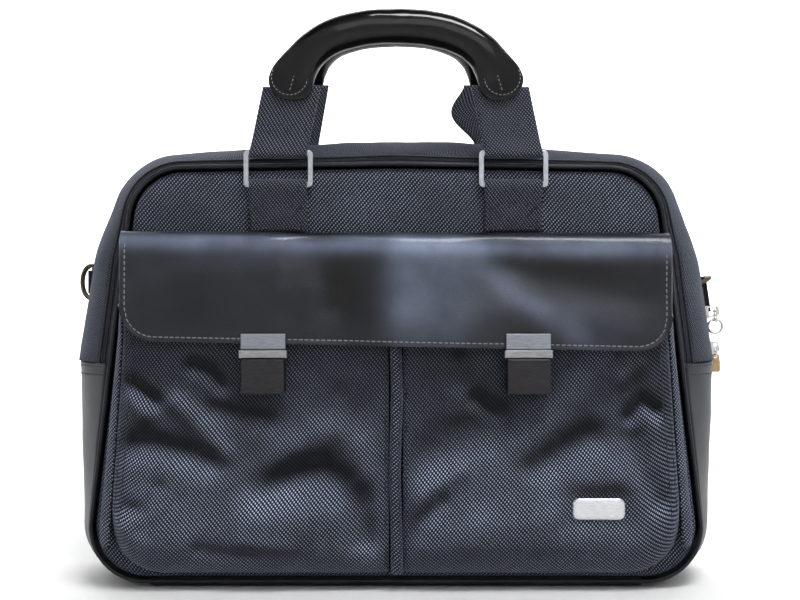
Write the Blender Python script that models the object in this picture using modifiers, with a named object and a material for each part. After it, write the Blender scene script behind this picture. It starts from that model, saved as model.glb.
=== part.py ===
"""Soft laptop briefcase with a leather flap, two locks, two handles and side rings.

Frame: +X to the bag's right as seen from the front, -Y to the front, +Z up.
The origin lies under the middle of the bag, on the surface that it stands on.
"""

import math

import bmesh
import bpy
from mathutils import Matrix, Vector

# ---------------------------------------------------------------- driving dimensions, metres

GAP = 0.0003  # clearance between neighbouring pieces

FRONT_Y = -0.031  # front panel's outer face
WIDEST_Y = 0.020  # where the body bulges most, beside the main zip
BACK_Y = 0.053  # back panel's outer face
WALL = 0.0025  # fabric, foam and lining of the gussets
PANEL = 0.0025  # front and back panel

# Half outlines of the body seen from the front: (x, z, corner radius), from the floor to the crown.
PATCH_TOP = 0.150  # where the leather side patches end and the zips begin
BASE_HALF = 0.165  # half length of the leather base
FRONT_OUTLINE = (
    (BASE_HALF, 0.0036, 0.0),
    (0.2090, 0.0036, 0.037),
    (0.1916, PATCH_TOP, 0.0),
    (0.1825, 0.2220, 0.200),
    (0.1750, 0.2810, 0.038),
    (0.0000, 0.2840, 0.900),
)
WIDEST_OUTLINE = (
    (BASE_HALF, 0.0034, 0.0),
    (0.2160, 0.0034, 0.036),
    (0.2225, PATCH_TOP, 0.0),
    (0.2120, 0.2220, 0.080),
    (0.1840, 0.2910, 0.048),
    (0.0000, 0.3060, 0.900),
)
BACK_OUTLINE = (
    (BASE_HALF, 0.0050, 0.0),
    (0.2100, 0.0050, 0.034),
    (0.2150, PATCH_TOP, 0.0),
    (0.2050, 0.2180, 0.080),
    (0.1780, 0.2840, 0.046),
    (0.0000, 0.2980, 0.900),
)
CORNER_STEPS = (0, 6, 0, 2, 6, 2)  # segments in each corner of the half outlines

# y range of each strip of the gusset, front to back
FRONT_ZIP = (-0.0310, -0.0232)
GUSSET_FRONT = (-0.0229, 0.0173)
MAIN_ZIP = (0.0176, 0.0244)
GUSSET_REAR = (0.0247, 0.0530)

BASE_PANEL_THICK = 0.0030
BASE_PANEL_Y = (-0.0250, 0.0470)
BASE_PANEL_OVER = 0.002  # how far the leather base runs past the fabric at each end
BASE_CORNER = 0.006
BOARD_SIZE = (0.168, 0.0020, 0.0480, 0.0025)  # half length, y from, y to, thickness
DIVIDER_Y = (-0.0045, -0.0025)
LAPTOP_PAD_Y = (0.0230, 0.0280)
LAPTOP_PAD_HALF = 0.180
LAPTOP_PAD_Z = (0.030, 0.230)

POCKET_Y = -0.050  # outer face of the pockets
POCKET_TOP = 0.225
POCKET_THICK = 0.0020
POCKET_INNER_X = 0.0050  # beside the ridge in the middle
POCKET_OUTER_X = 0.178
POCKET_FLARE = 0.008  # how much wider the pockets are at the foot
POCKET_FOOT = 0.011
POCKET_CORNER = 0.036
POCKET_GUSSET_THICK = 0.0012
RIDGE_HALF = 0.004
PIPING_RADIUS = 0.0022

BADGE_MIDDLE = (0.132, 0.056)
BADGE_HALF = (0.017, 0.007)
BADGE_THICK = 0.0014
BADGE_CORNER = 0.004

FLAP_HALF = 0.178
FLAP_THICK = 0.0030
FLAP_Y = -0.0550  # middle of the flap's leather where it hangs
FLAP_TOP = 0.2345
FLAP_BOTTOM = 0.162
FLAP_BEND = 0.0065  # radius of the fold over the pockets' mouth
FLAP_HINGE_Z = 0.2295
FLAP_CORNER = 0.022

LOCK_X = 0.0853
STRIKE_PLATE = (0.0145, 0.0040, 0.1601, 0.1704)  # half width, thickness, z from, z to
STRIKE_TONGUE = (0.0155, -0.0625, -0.0562, 0.1546, 0.1598)  # half width, y range, z range
FLAP_BACK_PLATE = (0.0135, 0.0010, 0.1630, 0.1704)  # half width, thickness, z range
LOCK_BASE = (0.0125, -0.0557, 0.1315, 0.1590)  # half width, front face, z range
LOCK_LUG = (0.0030, -0.0610, 0.1340, 0.1360)  # half width, front face, z range
LOCK_SLIDE = (0.0140, -0.0645, -0.0520, 0.1315, 0.1542)  # half width, y range, z range
LOCK_CHANNEL = (0.0128, -0.0560, -0.0510, 0.1200, 0.1700)  # the slide's way round the base
SPRING_ROOM = (0.0040, -0.0620, -0.0550, 0.1330, 0.1510)  # the slide's room for the lug and coil
LOCK_WASHER = (0.0110, 0.0010, 0.1330, 0.1570)  # half width, thickness, z range
SPRING_Z = (0.1367, 0.1503)
SPRING_Y = -0.0588
SPRING_TURNS = 6
SPRING_RADIUS = 0.0020
SPRING_WIRE = 0.00035

RING_X = 0.078
RING_WIDTH = 0.0460
RING_HEIGHT = 0.0246
RING_BAR = 0.0034
RING_THICK = 0.0028
RING_CORNER = (0.003, 0.001)  # outer and inner
WEBBING = 0.038
WEBBING_THICK = 0.0030  # two layers sewn together
LOOP_OUTER = 0.0038
LOOP_HOLE = 0.0023
FRONT_RING_Z = 0.2684  # height of the front rings' lower bar
REAR_RING_Z = 0.2780
FRONT_RING_Y = FRONT_Y - GAP - LOOP_OUTER
REAR_RING_Y = BACK_Y + GAP + LOOP_OUTER
FRONT_TAIL_END = FLAP_TOP + 0.0022  # the front webbing runs down to the flap
REAR_TAIL = 0.045
REAR_EXTRA = 0.008  # how much taller the rear handle stands
STRAP_LEAN = 0.009  # how far a handle's leg leans inwards
GRIP_RADIUS = 0.011
GRIP_SIDES = 12

D_RING_Z = 0.205
D_RING_Y = 0.038
D_RING_HALF = 0.0120
D_RING_DEPTH = 0.0080
D_RING_WIRE = 0.0017
D_RING_LIFT = 25  # degrees that the right one stands up
LEFT_TAIL = 0.013  # length of each loop's sewn tail
RIGHT_TAIL = 0.022
SIDE_SLOPE = math.atan2(0.0105, 0.072)  # how far the sides lean in above the patches

ZIP_Y = 0.0210
UPPER_SLIDER_Z = 0.183
LOWER_SLIDER_Z = 0.158
PULL_PIVOT_X = 0.2266
SLIDER_HALF = 0.0045
LINK_HALF = 0.0038
LINK_BAR = 0.0012
UPPER_LINK = 0.0090
LOWER_LINK = 0.0082
PULL_RING_RADIUS = 0.0050
PULL_RING_WIRE = 0.0009
TAB_LENGTH = 0.0130
TAB_THICK = 0.0016

ROUND = 16  # segments round a small hole or end

# ---------------------------------------------------------------- scene and materials

for old in list(bpy.data.objects):
    bpy.data.objects.remove(old)

parts = bpy.data.collections.new("briefcase")
cutters = bpy.data.collections.new("cutters")
bpy.context.scene.collection.children.link(parts)
bpy.context.scene.collection.children.link(cutters)


def material(name, colour, roughness, metallic=0.0):
    made = bpy.data.materials.new(name)
    made.use_nodes = True
    shader = made.node_tree.nodes["Principled BSDF"]
    shader.inputs["Base Color"].default_value = (*colour, 1.0)
    shader.inputs["Roughness"].default_value = roughness
    shader.inputs["Metallic"].default_value = metallic
    return made


NYLON = material("ballistic_nylon", (0.040, 0.048, 0.068), 0.75)
WEB = material("nylon_webbing", (0.035, 0.042, 0.060), 0.70)
LEATHER = material("black_leather", (0.030, 0.035, 0.045), 0.40)
LINING = material("lining", (0.060, 0.065, 0.075), 0.90)
BOARD = material("stiffener_board", (0.050, 0.050, 0.050), 0.85)
ZIP = material("zip_coil", (0.020, 0.022, 0.028), 0.45)
STEEL = material("brushed_steel", (0.55, 0.56, 0.58), 0.32, 1.0)
GUNMETAL = material("gunmetal", (0.12, 0.12, 0.13), 0.35, 1.0)
BRONZE = material("dark_bronze", (0.20, 0.16, 0.12), 0.35, 1.0)
BRASS = material("brass", (0.60, 0.45, 0.25), 0.35, 1.0)
PLATE = material("badge_metal", (0.75, 0.76, 0.78), 0.35, 1.0)


def keep(obj, finish, smooth_angle=None):
    """Puts an object in the model's collection with its own copy of a finish."""
    for owner in list(obj.users_collection):
        owner.objects.unlink(obj)
    parts.objects.link(obj)
    own = finish.copy()
    own.name = f"{obj.name}_{finish.name}"
    obj.data.materials.clear()
    obj.data.materials.append(own)
    if smooth_angle is not None:
        obj.data.shade_smooth()
        obj.data.set_sharp_from_angle(angle=math.radians(smooth_angle))
    return obj


def mesh_object(name, bm):
    mesh = bpy.data.meshes.new(name)
    bm.to_mesh(mesh)
    bm.free()
    obj = bpy.data.objects.new(name, mesh)
    bpy.context.scene.collection.objects.link(obj)
    return obj


def set_aside(obj):
    """Turns an object into a cutter that isn't part of the model."""
    for owner in list(obj.users_collection):
        owner.objects.unlink(obj)
    cutters.objects.link(obj)
    obj.hide_render = True
    obj.display_type = "WIRE"
    return obj


def box_mesh(name, low, high):
    """An axis-parallel block between two corners."""
    bm = bmesh.new()
    bmesh.ops.create_cube(bm, size=1.0)
    size = [b - a for a, b in zip(low, high)]
    middle = [(a + b) / 2 for a, b in zip(low, high)]
    bmesh.ops.scale(bm, vec=size, verts=bm.verts)
    bmesh.ops.translate(bm, vec=middle, verts=bm.verts)
    return mesh_object(name, bm)


def box(name, low, high, finish, bevel=0.0):
    """A block whose edges are rounded by bevel."""
    obj = keep(box_mesh(name, low, high), finish)
    if bevel:
        rounding = obj.modifiers.new("edges", "BEVEL")
        rounding.width = bevel
        rounding.segments = 2
        rounding.limit_method = "ANGLE"
    return obj


def cut(obj, low, high):
    """Takes a block out of an object."""
    tool = set_aside(box_mesh(f"cut_{obj.name}_{len(obj.modifiers)}", low, high))
    step = obj.modifiers.new("cut", "BOOLEAN")
    step.operation = "DIFFERENCE"
    step.solver = "EXACT"
    step.object = tool


def join(obj, other):
    """Makes one body of an object and a helper."""
    step = obj.modifiers.new("join", "BOOLEAN")
    step.operation = "UNION"
    step.solver = "EXACT"
    step.object = set_aside(other)


def turn_about(obj, point):
    """Moves an object's origin onto its joint's axis and leaves the shape where it is."""
    bpy.context.view_layer.update()
    old = obj.matrix_world.copy()
    new = Matrix.Translation(Vector(point) - old.translation) @ old
    obj.data.transform(new.inverted() @ old)
    obj.matrix_world = new


# ---------------------------------------------------------------- flat outlines and bent strips


def arc(centre, radius, start, end, steps):
    """Points on a circle from one angle to another, in degrees."""
    angles = [math.radians(start + (end - start) * i / steps) for i in range(steps + 1)]
    return [
        (centre[0] + radius * math.cos(a), centre[1] + radius * math.sin(a))
        for a in angles
    ]


def rounded(corners, steps, closed=True):
    """A polygon's outline with every corner rounded by its own radius."""
    count = len(corners)
    points = []
    for i, (x, z, radius) in enumerate(corners):
        if radius == 0.0 or (not closed and i in (0, count - 1)):
            points.append((x, z))
            continue
        here = Vector((x, z))
        back = (Vector(corners[i - 1][:2]) - here).normalized()
        ahead = (Vector(corners[(i + 1) % count][:2]) - here).normalized()
        half = back.angle(ahead) / 2
        reach = radius / math.tan(half)
        centre = here + (back + ahead).normalized() * radius / math.sin(half)
        first = here + back * reach - centre
        last = here + ahead * reach - centre
        turn = first.angle_signed(last)
        for k in range(steps[i] + 1):
            spot = centre + Matrix.Rotation(-turn * k / steps[i], 2) @ first
            points.append((spot.x, spot.y))
    return points


def full_outline(half):
    """The closed outline of the body: up the right side, over the crown and down the left side."""
    mirrored = [(-x, z, radius) for x, z, radius in reversed(half[:-1])]
    steps = CORNER_STEPS + tuple(reversed(CORNER_STEPS[:-1]))
    return rounded(list(half) + mirrored, steps)


STATIONS = [full_outline(o) for o in (FRONT_OUTLINE, WIDEST_OUTLINE, BACK_OUTLINE)]
OUTLINE_COUNT = len(STATIONS[0])
PATCH_INDEX = 2 + CORNER_STEPS[1]  # the outline's point at the top of the right side patch
LAST = OUTLINE_COUNT - 1


def section(y):
    """The body's outline at a depth: bulging from the front to the widest, then in to the back."""
    front, widest, back = STATIONS
    if y <= WIDEST_Y:
        low, high = front, widest
        share = math.sin(math.pi / 2 * (y - FRONT_Y) / (WIDEST_Y - FRONT_Y))
    else:
        low, high = widest, back
        share = 1 - math.cos(math.pi / 2 * (y - WIDEST_Y) / (BACK_Y - WIDEST_Y))
    return [
        (a[0] + (b[0] - a[0]) * share, a[1] + (b[1] - a[1]) * share)
        for a, b in zip(low, high)
    ]


def half_width(y, z):
    """Half the body's width at a depth and height, on the sides above the patches."""
    side = section(y)[PATCH_INDEX - 1 : OUTLINE_COUNT // 2 - 1]
    for (x0, z0), (x1, z1) in zip(side, side[1:]):
        if z0 <= z <= z1:
            return x0 + (x1 - x0) * (z - z0) / (z1 - z0)
    return side[0][0]


def inset(outline, distance):
    """A closed outline moved inwards."""
    moved = []
    count = len(outline)
    for i in range(count):
        before, here, after = (Vector(outline[(i + k) % count]) for k in (-1, 0, 1))
        one = (here - before).normalized()
        two = (after - here).normalized()
        inward = Vector((-one.y - two.y, one.x + two.x)).normalized()
        spot = here + inward * distance / max(0.5, inward.dot(Vector((-one.y, one.x))))
        moved.append((spot.x, spot.y))
    return moved


def flat(name, outlines, depth, place, finish):
    """A plate: closed outlines filled in their plane and given a depth, then put in place."""
    data = bpy.data.curves.new(name, "CURVE")
    data.dimensions = "2D"
    data.fill_mode = "BOTH"
    data.extrude = depth / 2
    for outline in outlines:
        spline = data.splines.new("POLY")
        spline.points.add(len(outline) - 1)
        for point, (u, v) in zip(spline.points, outline):
            point.co = (u, v, 0.0, 1.0)
        spline.use_cyclic_u = True
    obj = bpy.data.objects.new(name, data)
    obj.matrix_world = place
    bpy.context.scene.collection.objects.link(obj)
    return keep(obj, finish)


def facing_y(middle_y):
    """Outlines drawn in (x, z), with the plate's middle at a depth."""
    turn = Matrix(((1, 0, 0), (0, 0, -1), (0, 1, 0))).to_4x4()
    return Matrix.Translation((0, middle_y, 0)) @ turn


def facing_x(middle_x):
    """Outlines drawn in (y, z), with the plate's middle at a place along X."""
    turn = Matrix(((0, 0, 1), (1, 0, 0), (0, 1, 0))).to_4x4()
    return Matrix.Translation((middle_x, 0, 0)) @ turn


def plate(name, outline, y_range, finish):
    low, high = y_range
    return flat(name, [outline], high - low, facing_y((low + high) / 2), finish)


def as_mesh(obj):
    """Replaces a curve object by the mesh that it draws, with its caps welded on."""
    view = bpy.context.evaluated_depsgraph_get()
    mesh = bpy.data.meshes.new_from_object(obj.evaluated_get(view))
    bm = bmesh.new()
    bm.from_mesh(mesh)
    bmesh.ops.remove_doubles(bm, verts=bm.verts, dist=0.000001)
    bm.to_mesh(mesh)
    bm.free()
    name = obj.name
    place = obj.matrix_world.copy()
    bpy.data.objects.remove(obj)
    made = bpy.data.objects.new(name, mesh)
    made.matrix_world = place
    parts.objects.link(made)
    return made


def sheet(name, rows, thickness, finish, smooth_angle=40):
    """A sheet of material through a grid of points, thickened away from its outer side."""
    bm = bmesh.new()
    grid = [[bm.verts.new(point) for point in row] for row in rows]
    for low, high in zip(grid, grid[1:]):
        for a, b, c, d in zip(low, low[1:], high[1:], high):
            bm.faces.new((a, b, c, d))
    obj = keep(mesh_object(name, bm), finish, smooth_angle)
    body = obj.modifiers.new("thickness", "SOLIDIFY")
    body.thickness = thickness
    body.offset = -1.0
    body.use_even_offset = True
    return obj


def strip_ends(line):
    """Shortens a line of points by half the gap at both ends, so that it clears the next strip."""
    out = [Vector(p) for p in line]
    for end, near in ((0, 1), (-1, -2)):
        away = (out[near] - out[end]).normalized()
        out[end] = out[end] + away * GAP / 2
    return out


def band(name, first, last, y_range, columns, finish, thickness=WALL):
    """A strip of the gusset that follows the body's outline between two of its points.

    It is a loft: at each depth the outline and the same outline moved inwards by the thickness.
    """
    low, high = y_range
    bm = bmesh.new()
    rows = []
    for k in range(columns + 1):
        y = low + (high - low) * k / columns
        outer = section(y)
        inner = inset(outer, thickness)
        loop = []
        for outline, order in ((outer, 1), (inner, -1)):
            line = [outline[i % OUTLINE_COUNT] for i in range(first, last + 1)]
            loop += [bm.verts.new((p.x, y, p.y)) for p in strip_ends(line)[::order]]
        rows.append(loop)
    for one, two in zip(rows, rows[1:]):
        for a, b, c, d in zip(one, one[1:] + one[:1], two[1:] + two[:1], two):
            bm.faces.new((a, b, c, d))
    count = last - first + 1
    for row in (rows[0], rows[-1]):
        for i in range(count - 1):
            bm.faces.new((row[i], row[i + 1], row[2 * count - 2 - i], row[2 * count - 1 - i]))
    bmesh.ops.recalc_face_normals(bm, faces=bm.faces)
    return keep(mesh_object(name, bm), finish, 40)


def tube(name, points, radius, finish, closed=False, sides=2):
    """A round wire, welt or rod along points."""
    data = bpy.data.curves.new(name, "CURVE")
    data.dimensions = "3D"
    data.bevel_depth = radius
    data.bevel_resolution = sides
    data.use_fill_caps = not closed
    spline = data.splines.new("POLY")
    spline.points.add(len(points) - 1)
    for point, place in zip(spline.points, points):
        point.co = (*place, 1.0)
    spline.use_cyclic_u = closed
    obj = bpy.data.objects.new(name, data)
    bpy.context.scene.collection.objects.link(obj)
    return keep(obj, finish)


# ---------------------------------------------------------------- body shell


def body_shell():
    plate("front_panel", inset(section(FRONT_Y), WALL + 0.0008), (FRONT_Y, FRONT_Y + PANEL), NYLON)
    plate("back_panel", inset(section(BACK_Y), WALL + 0.0008), (BACK_Y - PANEL, BACK_Y), NYLON)
    divider = inset(section(DIVIDER_Y[0]), WALL + 0.0026)
    plate("compartment_divider", divider, DIVIDER_Y, LINING)

    arch = (PATCH_INDEX, LAST - PATCH_INDEX)
    band("gusset_front", *arch, GUSSET_FRONT, 3, NYLON)
    band("gusset_rear", *arch, GUSSET_REAR, 3, NYLON)
    band("front_zip_chain", *arch, FRONT_ZIP, 1, ZIP)
    band("main_zip_chain", *arch, MAIN_ZIP, 1, ZIP)
    band("side_patch_right", 0, PATCH_INDEX, (FRONT_Y, BACK_Y), 6, LEATHER)
    band("side_patch_left", LAST - PATCH_INDEX, LAST, (FRONT_Y, BACK_Y), 6, LEATHER)
    band("bottom_gusset", LAST, LAST + 1, (FRONT_Y, BACK_Y), 6, NYLON)


def base():
    low, high = BASE_PANEL_Y
    half = BASE_HALF + BASE_PANEL_OVER
    outline = rounded(
        [
            (-half, low, BASE_CORNER),
            (half, low, BASE_CORNER),
            (half, high, BASE_CORNER),
            (-half, high, BASE_CORNER),
        ],
        (3, 3, 3, 3),
    )
    place = Matrix.Translation((0, 0, BASE_PANEL_THICK / 2))
    flat("base_panel", [outline], BASE_PANEL_THICK, place, LEATHER)
    half, front, back, thick = BOARD_SIZE
    floor = BACK_OUTLINE[0][1] + WALL + 2 * GAP
    box("base_board", (-half, front, floor), (half, back, floor + thick), BOARD)
    foot, top = LAPTOP_PAD_Z
    half = LAPTOP_PAD_HALF
    pad = rounded(
        [(-half, foot, 0.02), (half, foot, 0.02), (half, top, 0.03), (-half, top, 0.03)],
        (4, 4, 4, 4),
    )
    plate("laptop_pad", pad, LAPTOP_PAD_Y, LINING)


def front_piping():
    """The welt that closes the seam between the pockets' fronts and the leather, patch to patch."""
    outline = inset(section(FRONT_Y), 0.0015)
    count = OUTLINE_COUNT
    around = [outline[i % count] for i in range(LAST - PATCH_INDEX, LAST + PATCH_INDEX + 2)]
    y = FRONT_Y - GAP - PIPING_RADIUS
    tube("front_piping", [(x, y, z) for x, z in around], PIPING_RADIUS, LEATHER)


# ---------------------------------------------------------------- pockets


def pocket_outer(z):
    """Where a pocket's front ends at the side: straight under the flap, then flaring to the foot."""
    flare = max(0.0, 0.166 - z) / 0.120
    return POCKET_OUTER_X + POCKET_FLARE * flare


def pocket_foot(x):
    """The pocket's lower edge: level, then rising round the corner of the bag."""
    radius = POCKET_CORNER
    start = POCKET_OUTER_X + POCKET_FLARE - radius
    beyond = min(max(0.0, x - start), radius)
    return POCKET_FOOT + radius - math.sqrt(radius * radius - beyond * beyond)


def pocket_face(across, up):
    """A point of a pocket's outer face on the right-hand side, both shares from 0 to 1."""
    x = POCKET_INNER_X + across * (POCKET_OUTER_X + 0.007 - POCKET_INNER_X)
    foot = pocket_foot(x)
    z = foot + up * (POCKET_TOP - foot)
    x = POCKET_INNER_X + across * (pocket_outer(z) - POCKET_INNER_X)
    near_foot = max(0.0, 1 - (z - foot) / 0.024)
    near_ridge = max(0.0, 1 - (x - POCKET_INNER_X) / 0.010)
    y = POCKET_Y + 0.0150 * near_foot**2 + 0.0050 * near_ridge**2
    return Vector((x, min(y, POCKET_Y + 0.0150), z))


def pockets():
    shares_across = (0.0, 0.03, 0.06, 0.25, 0.5, 0.75, 0.84, 0.92, 1.0)
    shares_up = (0.0, 0.025, 0.05, 0.08, 0.11, 0.2, 0.4, 0.6, 0.8, 1.0)
    for side, sign in (("left", -1), ("right", 1)):
        rows = []
        for up in shares_up:
            row = [pocket_face(across, up) for across in shares_across]
            rows.append([(sign * p.x, p.y, p.z) for p in row])
        if sign < 0:
            rows = [list(reversed(row)) for row in rows]
        sheet(f"{side}_pocket_front", rows, POCKET_THICK, NYLON)

        edge = inset(section(FRONT_Y), 0.0065)
        rows = []
        for height in (0.050, 0.080, 0.110, 0.140, 0.170, 0.200, POCKET_TOP):
            inner = FRONT_Y - GAP - POCKET_THICK - 0.0004
            outer_x = edge_at(edge, height)
            front = Vector((pocket_outer(height) + 0.0020, POCKET_Y + 0.0004, height))
            back = Vector((outer_x, inner, height))
            middle = (front + back) / 2 + Vector((0.0030, -0.0015, 0))
            row = [front, (front + middle) / 2 + Vector((0.0006, -0.0004, 0)), middle, back]
            rows.append([(sign * p.x, p.y, p.z) for p in row])
        if sign < 0:
            rows = [list(reversed(row)) for row in rows]
        sheet(f"{side}_pocket_gusset", rows, POCKET_GUSSET_THICK, NYLON)
    box(
        "pocket_ridge",
        (-RIDGE_HALF, POCKET_Y + 0.0030, POCKET_FOOT + 0.001),
        (RIDGE_HALF, FRONT_Y - GAP, POCKET_TOP - 0.002),
        NYLON,
        0.0010,
    )


def edge_at(outline, height):
    """The x of an outline's right side at a height."""
    side = outline[: OUTLINE_COUNT // 2]
    for (x0, z0), (x1, z1) in zip(side, side[1:]):
        if z0 <= height <= z1 and z1 > z0:
            return x0 + (x1 - x0) * (height - z0) / (z1 - z0)
    return side[0][0]


def badge():
    x, z = BADGE_MIDDLE
    half_x, half_z = BADGE_HALF
    corners = [
        (x - half_x, z - half_z, BADGE_CORNER),
        (x + half_x, z - half_z, BADGE_CORNER),
        (x + half_x, z + half_z, BADGE_CORNER),
        (x - half_x, z + half_z, BADGE_CORNER),
    ]
    y = POCKET_Y - GAP
    plate("badge", rounded(corners, (4, 4, 4, 4)), (y - BADGE_THICK, y), PLATE)


# ---------------------------------------------------------------- flap


def flap():
    half = FLAP_THICK / 2
    centre = (FLAP_Y + FLAP_BEND, FLAP_TOP - FLAP_BEND)
    end_angle = 180 - math.degrees(math.asin((FLAP_HINGE_Z + 0.0021 - centre[1]) / FLAP_BEND))
    upper = arc(centre, FLAP_BEND + half, 90, end_angle, 5)
    lower = arc(centre, FLAP_BEND - half, end_angle, 90, 5)
    sewn_y = FRONT_Y - GAP
    profile = [(sewn_y, FLAP_TOP + half)] + upper + lower + [(sewn_y, FLAP_TOP - half)]
    flat("flap_root", [profile], 2 * FLAP_HALF, facing_x(0.0), LEATHER)

    corners = [
        (-FLAP_HALF, FLAP_BOTTOM, FLAP_CORNER),
        (FLAP_HALF, FLAP_BOTTOM, FLAP_CORNER),
        (FLAP_HALF, FLAP_HINGE_Z, 0.0),
        (-FLAP_HALF, FLAP_HINGE_Z, 0.0),
    ]
    outline = rounded(corners, (6, 6, 0, 0))
    leather = as_mesh(plate("flap", outline, (FLAP_Y - half, FLAP_Y + half), LEATHER))
    turn_about(leather, (0, FLAP_Y, FLAP_HINGE_Z))


# ---------------------------------------------------------------- locks


def lock(side, x):
    """One lock: plates on the flap's edge, and a spring-return slide on a base on the pocket."""
    hinge = (x, FLAP_Y, FLAP_HINGE_Z)
    face = FLAP_Y - FLAP_THICK / 2 - GAP
    half, thick, low, high = STRIKE_PLATE
    made = box(
        f"{side}_strike_plate", (x - half, face - thick, low), (x + half, face, high), STEEL, 0.0006
    )
    turn_about(made, hinge)

    half, front, back, low, high = STRIKE_TONGUE
    made = box(
        f"{side}_strike_tongue", (x - half, front, low), (x + half, back, high), STEEL, 0.0005
    )
    turn_about(made, hinge)

    half, thick, low, high = FLAP_BACK_PLATE
    face = FLAP_Y + FLAP_THICK / 2 + GAP
    made = box(
        f"{side}_flap_back_plate", (x - half, face, low), (x + half, face + thick, high), STEEL
    )
    turn_about(made, hinge)

    half, front, low, high = LOCK_BASE
    back = POCKET_Y - GAP
    base_plate = box(f"{side}_lock_base", (x - half, front, low), (x + half, back, high), GUNMETAL)
    half, face, low, high = LOCK_LUG
    lug = box_mesh(f"{side}_lug", (x - half, face, low), (x + half, front + 0.0005, high))
    join(base_plate, lug)

    half, front, back, low, high = LOCK_SLIDE
    slide = box(
        f"{side}_lock_slide", (x - half, front, low), (x + half, back, high), GUNMETAL, 0.0009
    )
    for half, near, far, bottom, top in (LOCK_CHANNEL, SPRING_ROOM):
        cut(slide, (x - half, near, bottom), (x + half, far, top))
    turn_about(slide, (x, (front + back) / 2, (low + high) / 2))

    spring_coil(f"{side}_lock_spring", x)
    half, thick, low, high = LOCK_WASHER
    face = POCKET_Y + POCKET_THICK + GAP
    box(f"{side}_lock_washer", (x - half, face, low), (x + half, face + thick, high), STEEL)


def spring_coil(name, x):
    """The coil between the base's lug and the top of the slide's room."""
    low, high = SPRING_Z
    per_turn = 8
    count = SPRING_TURNS * per_turn
    points = []
    for i in range(count + 1):
        angle = 2 * math.pi * i / per_turn
        across = SPRING_RADIUS * math.cos(angle)
        deep = SPRING_RADIUS * math.sin(angle)
        points.append((x + across, SPRING_Y + deep, low + (high - low) * i / count))
    tube(name, points, SPRING_WIRE, STEEL)


# ---------------------------------------------------------------- rings, tabs, straps and grips


def rectangle(half, low, high, corner, steps):
    """A rounded rectangle that stands on the middle of the plane."""
    corners = [(-half, low, corner), (half, low, corner), (half, high, corner), (-half, high, corner)]
    return rounded(corners, (steps,) * 4)


def ring(name, x, y, bar_z):
    """A flat-sided rectangular ring, standing on its lower bar."""
    low = -RING_BAR / 2
    high = low + RING_HEIGHT
    half = RING_WIDTH / 2
    outer = rectangle(half, low, high, RING_CORNER[0], 3)
    inner = rectangle(half - RING_BAR, low + RING_BAR, high - RING_BAR, RING_CORNER[1], 2)
    place = Matrix.Translation((x, 0, bar_z)) @ facing_y(y)
    flat(name, [outer, inner], RING_THICK, place, STEEL)


def loop_profile(centre, tail_end, outward):
    """A webbing loop round a bar, with both layers running down along the panel behind it."""
    y, z = centre
    near = math.degrees(math.acos((LOOP_OUTER - WEBBING_THICK) / LOOP_OUTER))
    around = arc((0, z), LOOP_OUTER, 0, 360 - near, ROUND)
    outline = [(LOOP_OUTER, tail_end)] + around + [(LOOP_OUTER - WEBBING_THICK, tail_end)]
    hole = arc((0, z), LOOP_HOLE, 0, 360 * (ROUND - 1) / ROUND, ROUND - 1)
    return [[(y - outward * u, v) for u, v in line] for line in (outline, hole)]


def tab(name, x, y, bar_z, tail_end, outward):
    """The webbing loop sewn on a panel that holds a ring's lower bar."""
    outlines = loop_profile((y, bar_z), tail_end, outward)
    flat(name, outlines, WEBBING, facing_x(x), WEB)


def strap(name, x, y, bar_z, top):
    """A handle's webbing leg: a loop round the ring's upper bar, and two layers up into the grip."""
    half = WEBBING_THICK / 2
    side = math.degrees(math.acos(half / LOOP_OUTER))
    around = arc((y, bar_z), LOOP_OUTER, side, side - 2 * side - 180, ROUND)
    outline = [(y + half, top)] + around + [(y - half, top)]
    hole = arc((y, bar_z), LOOP_HOLE, 0, 360 * (ROUND - 1) / ROUND, ROUND - 1)
    leg = as_mesh(flat(name, [outline, hole], WEBBING, facing_x(x), WEB))
    lean = STRAP_LEAN if x < 0 else -STRAP_LEAN
    for vertex in leg.data.vertices:
        if vertex.co.y > top - 0.001:
            vertex.co.z += lean
    turn_about(leg, (x, y, bar_z))


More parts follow.
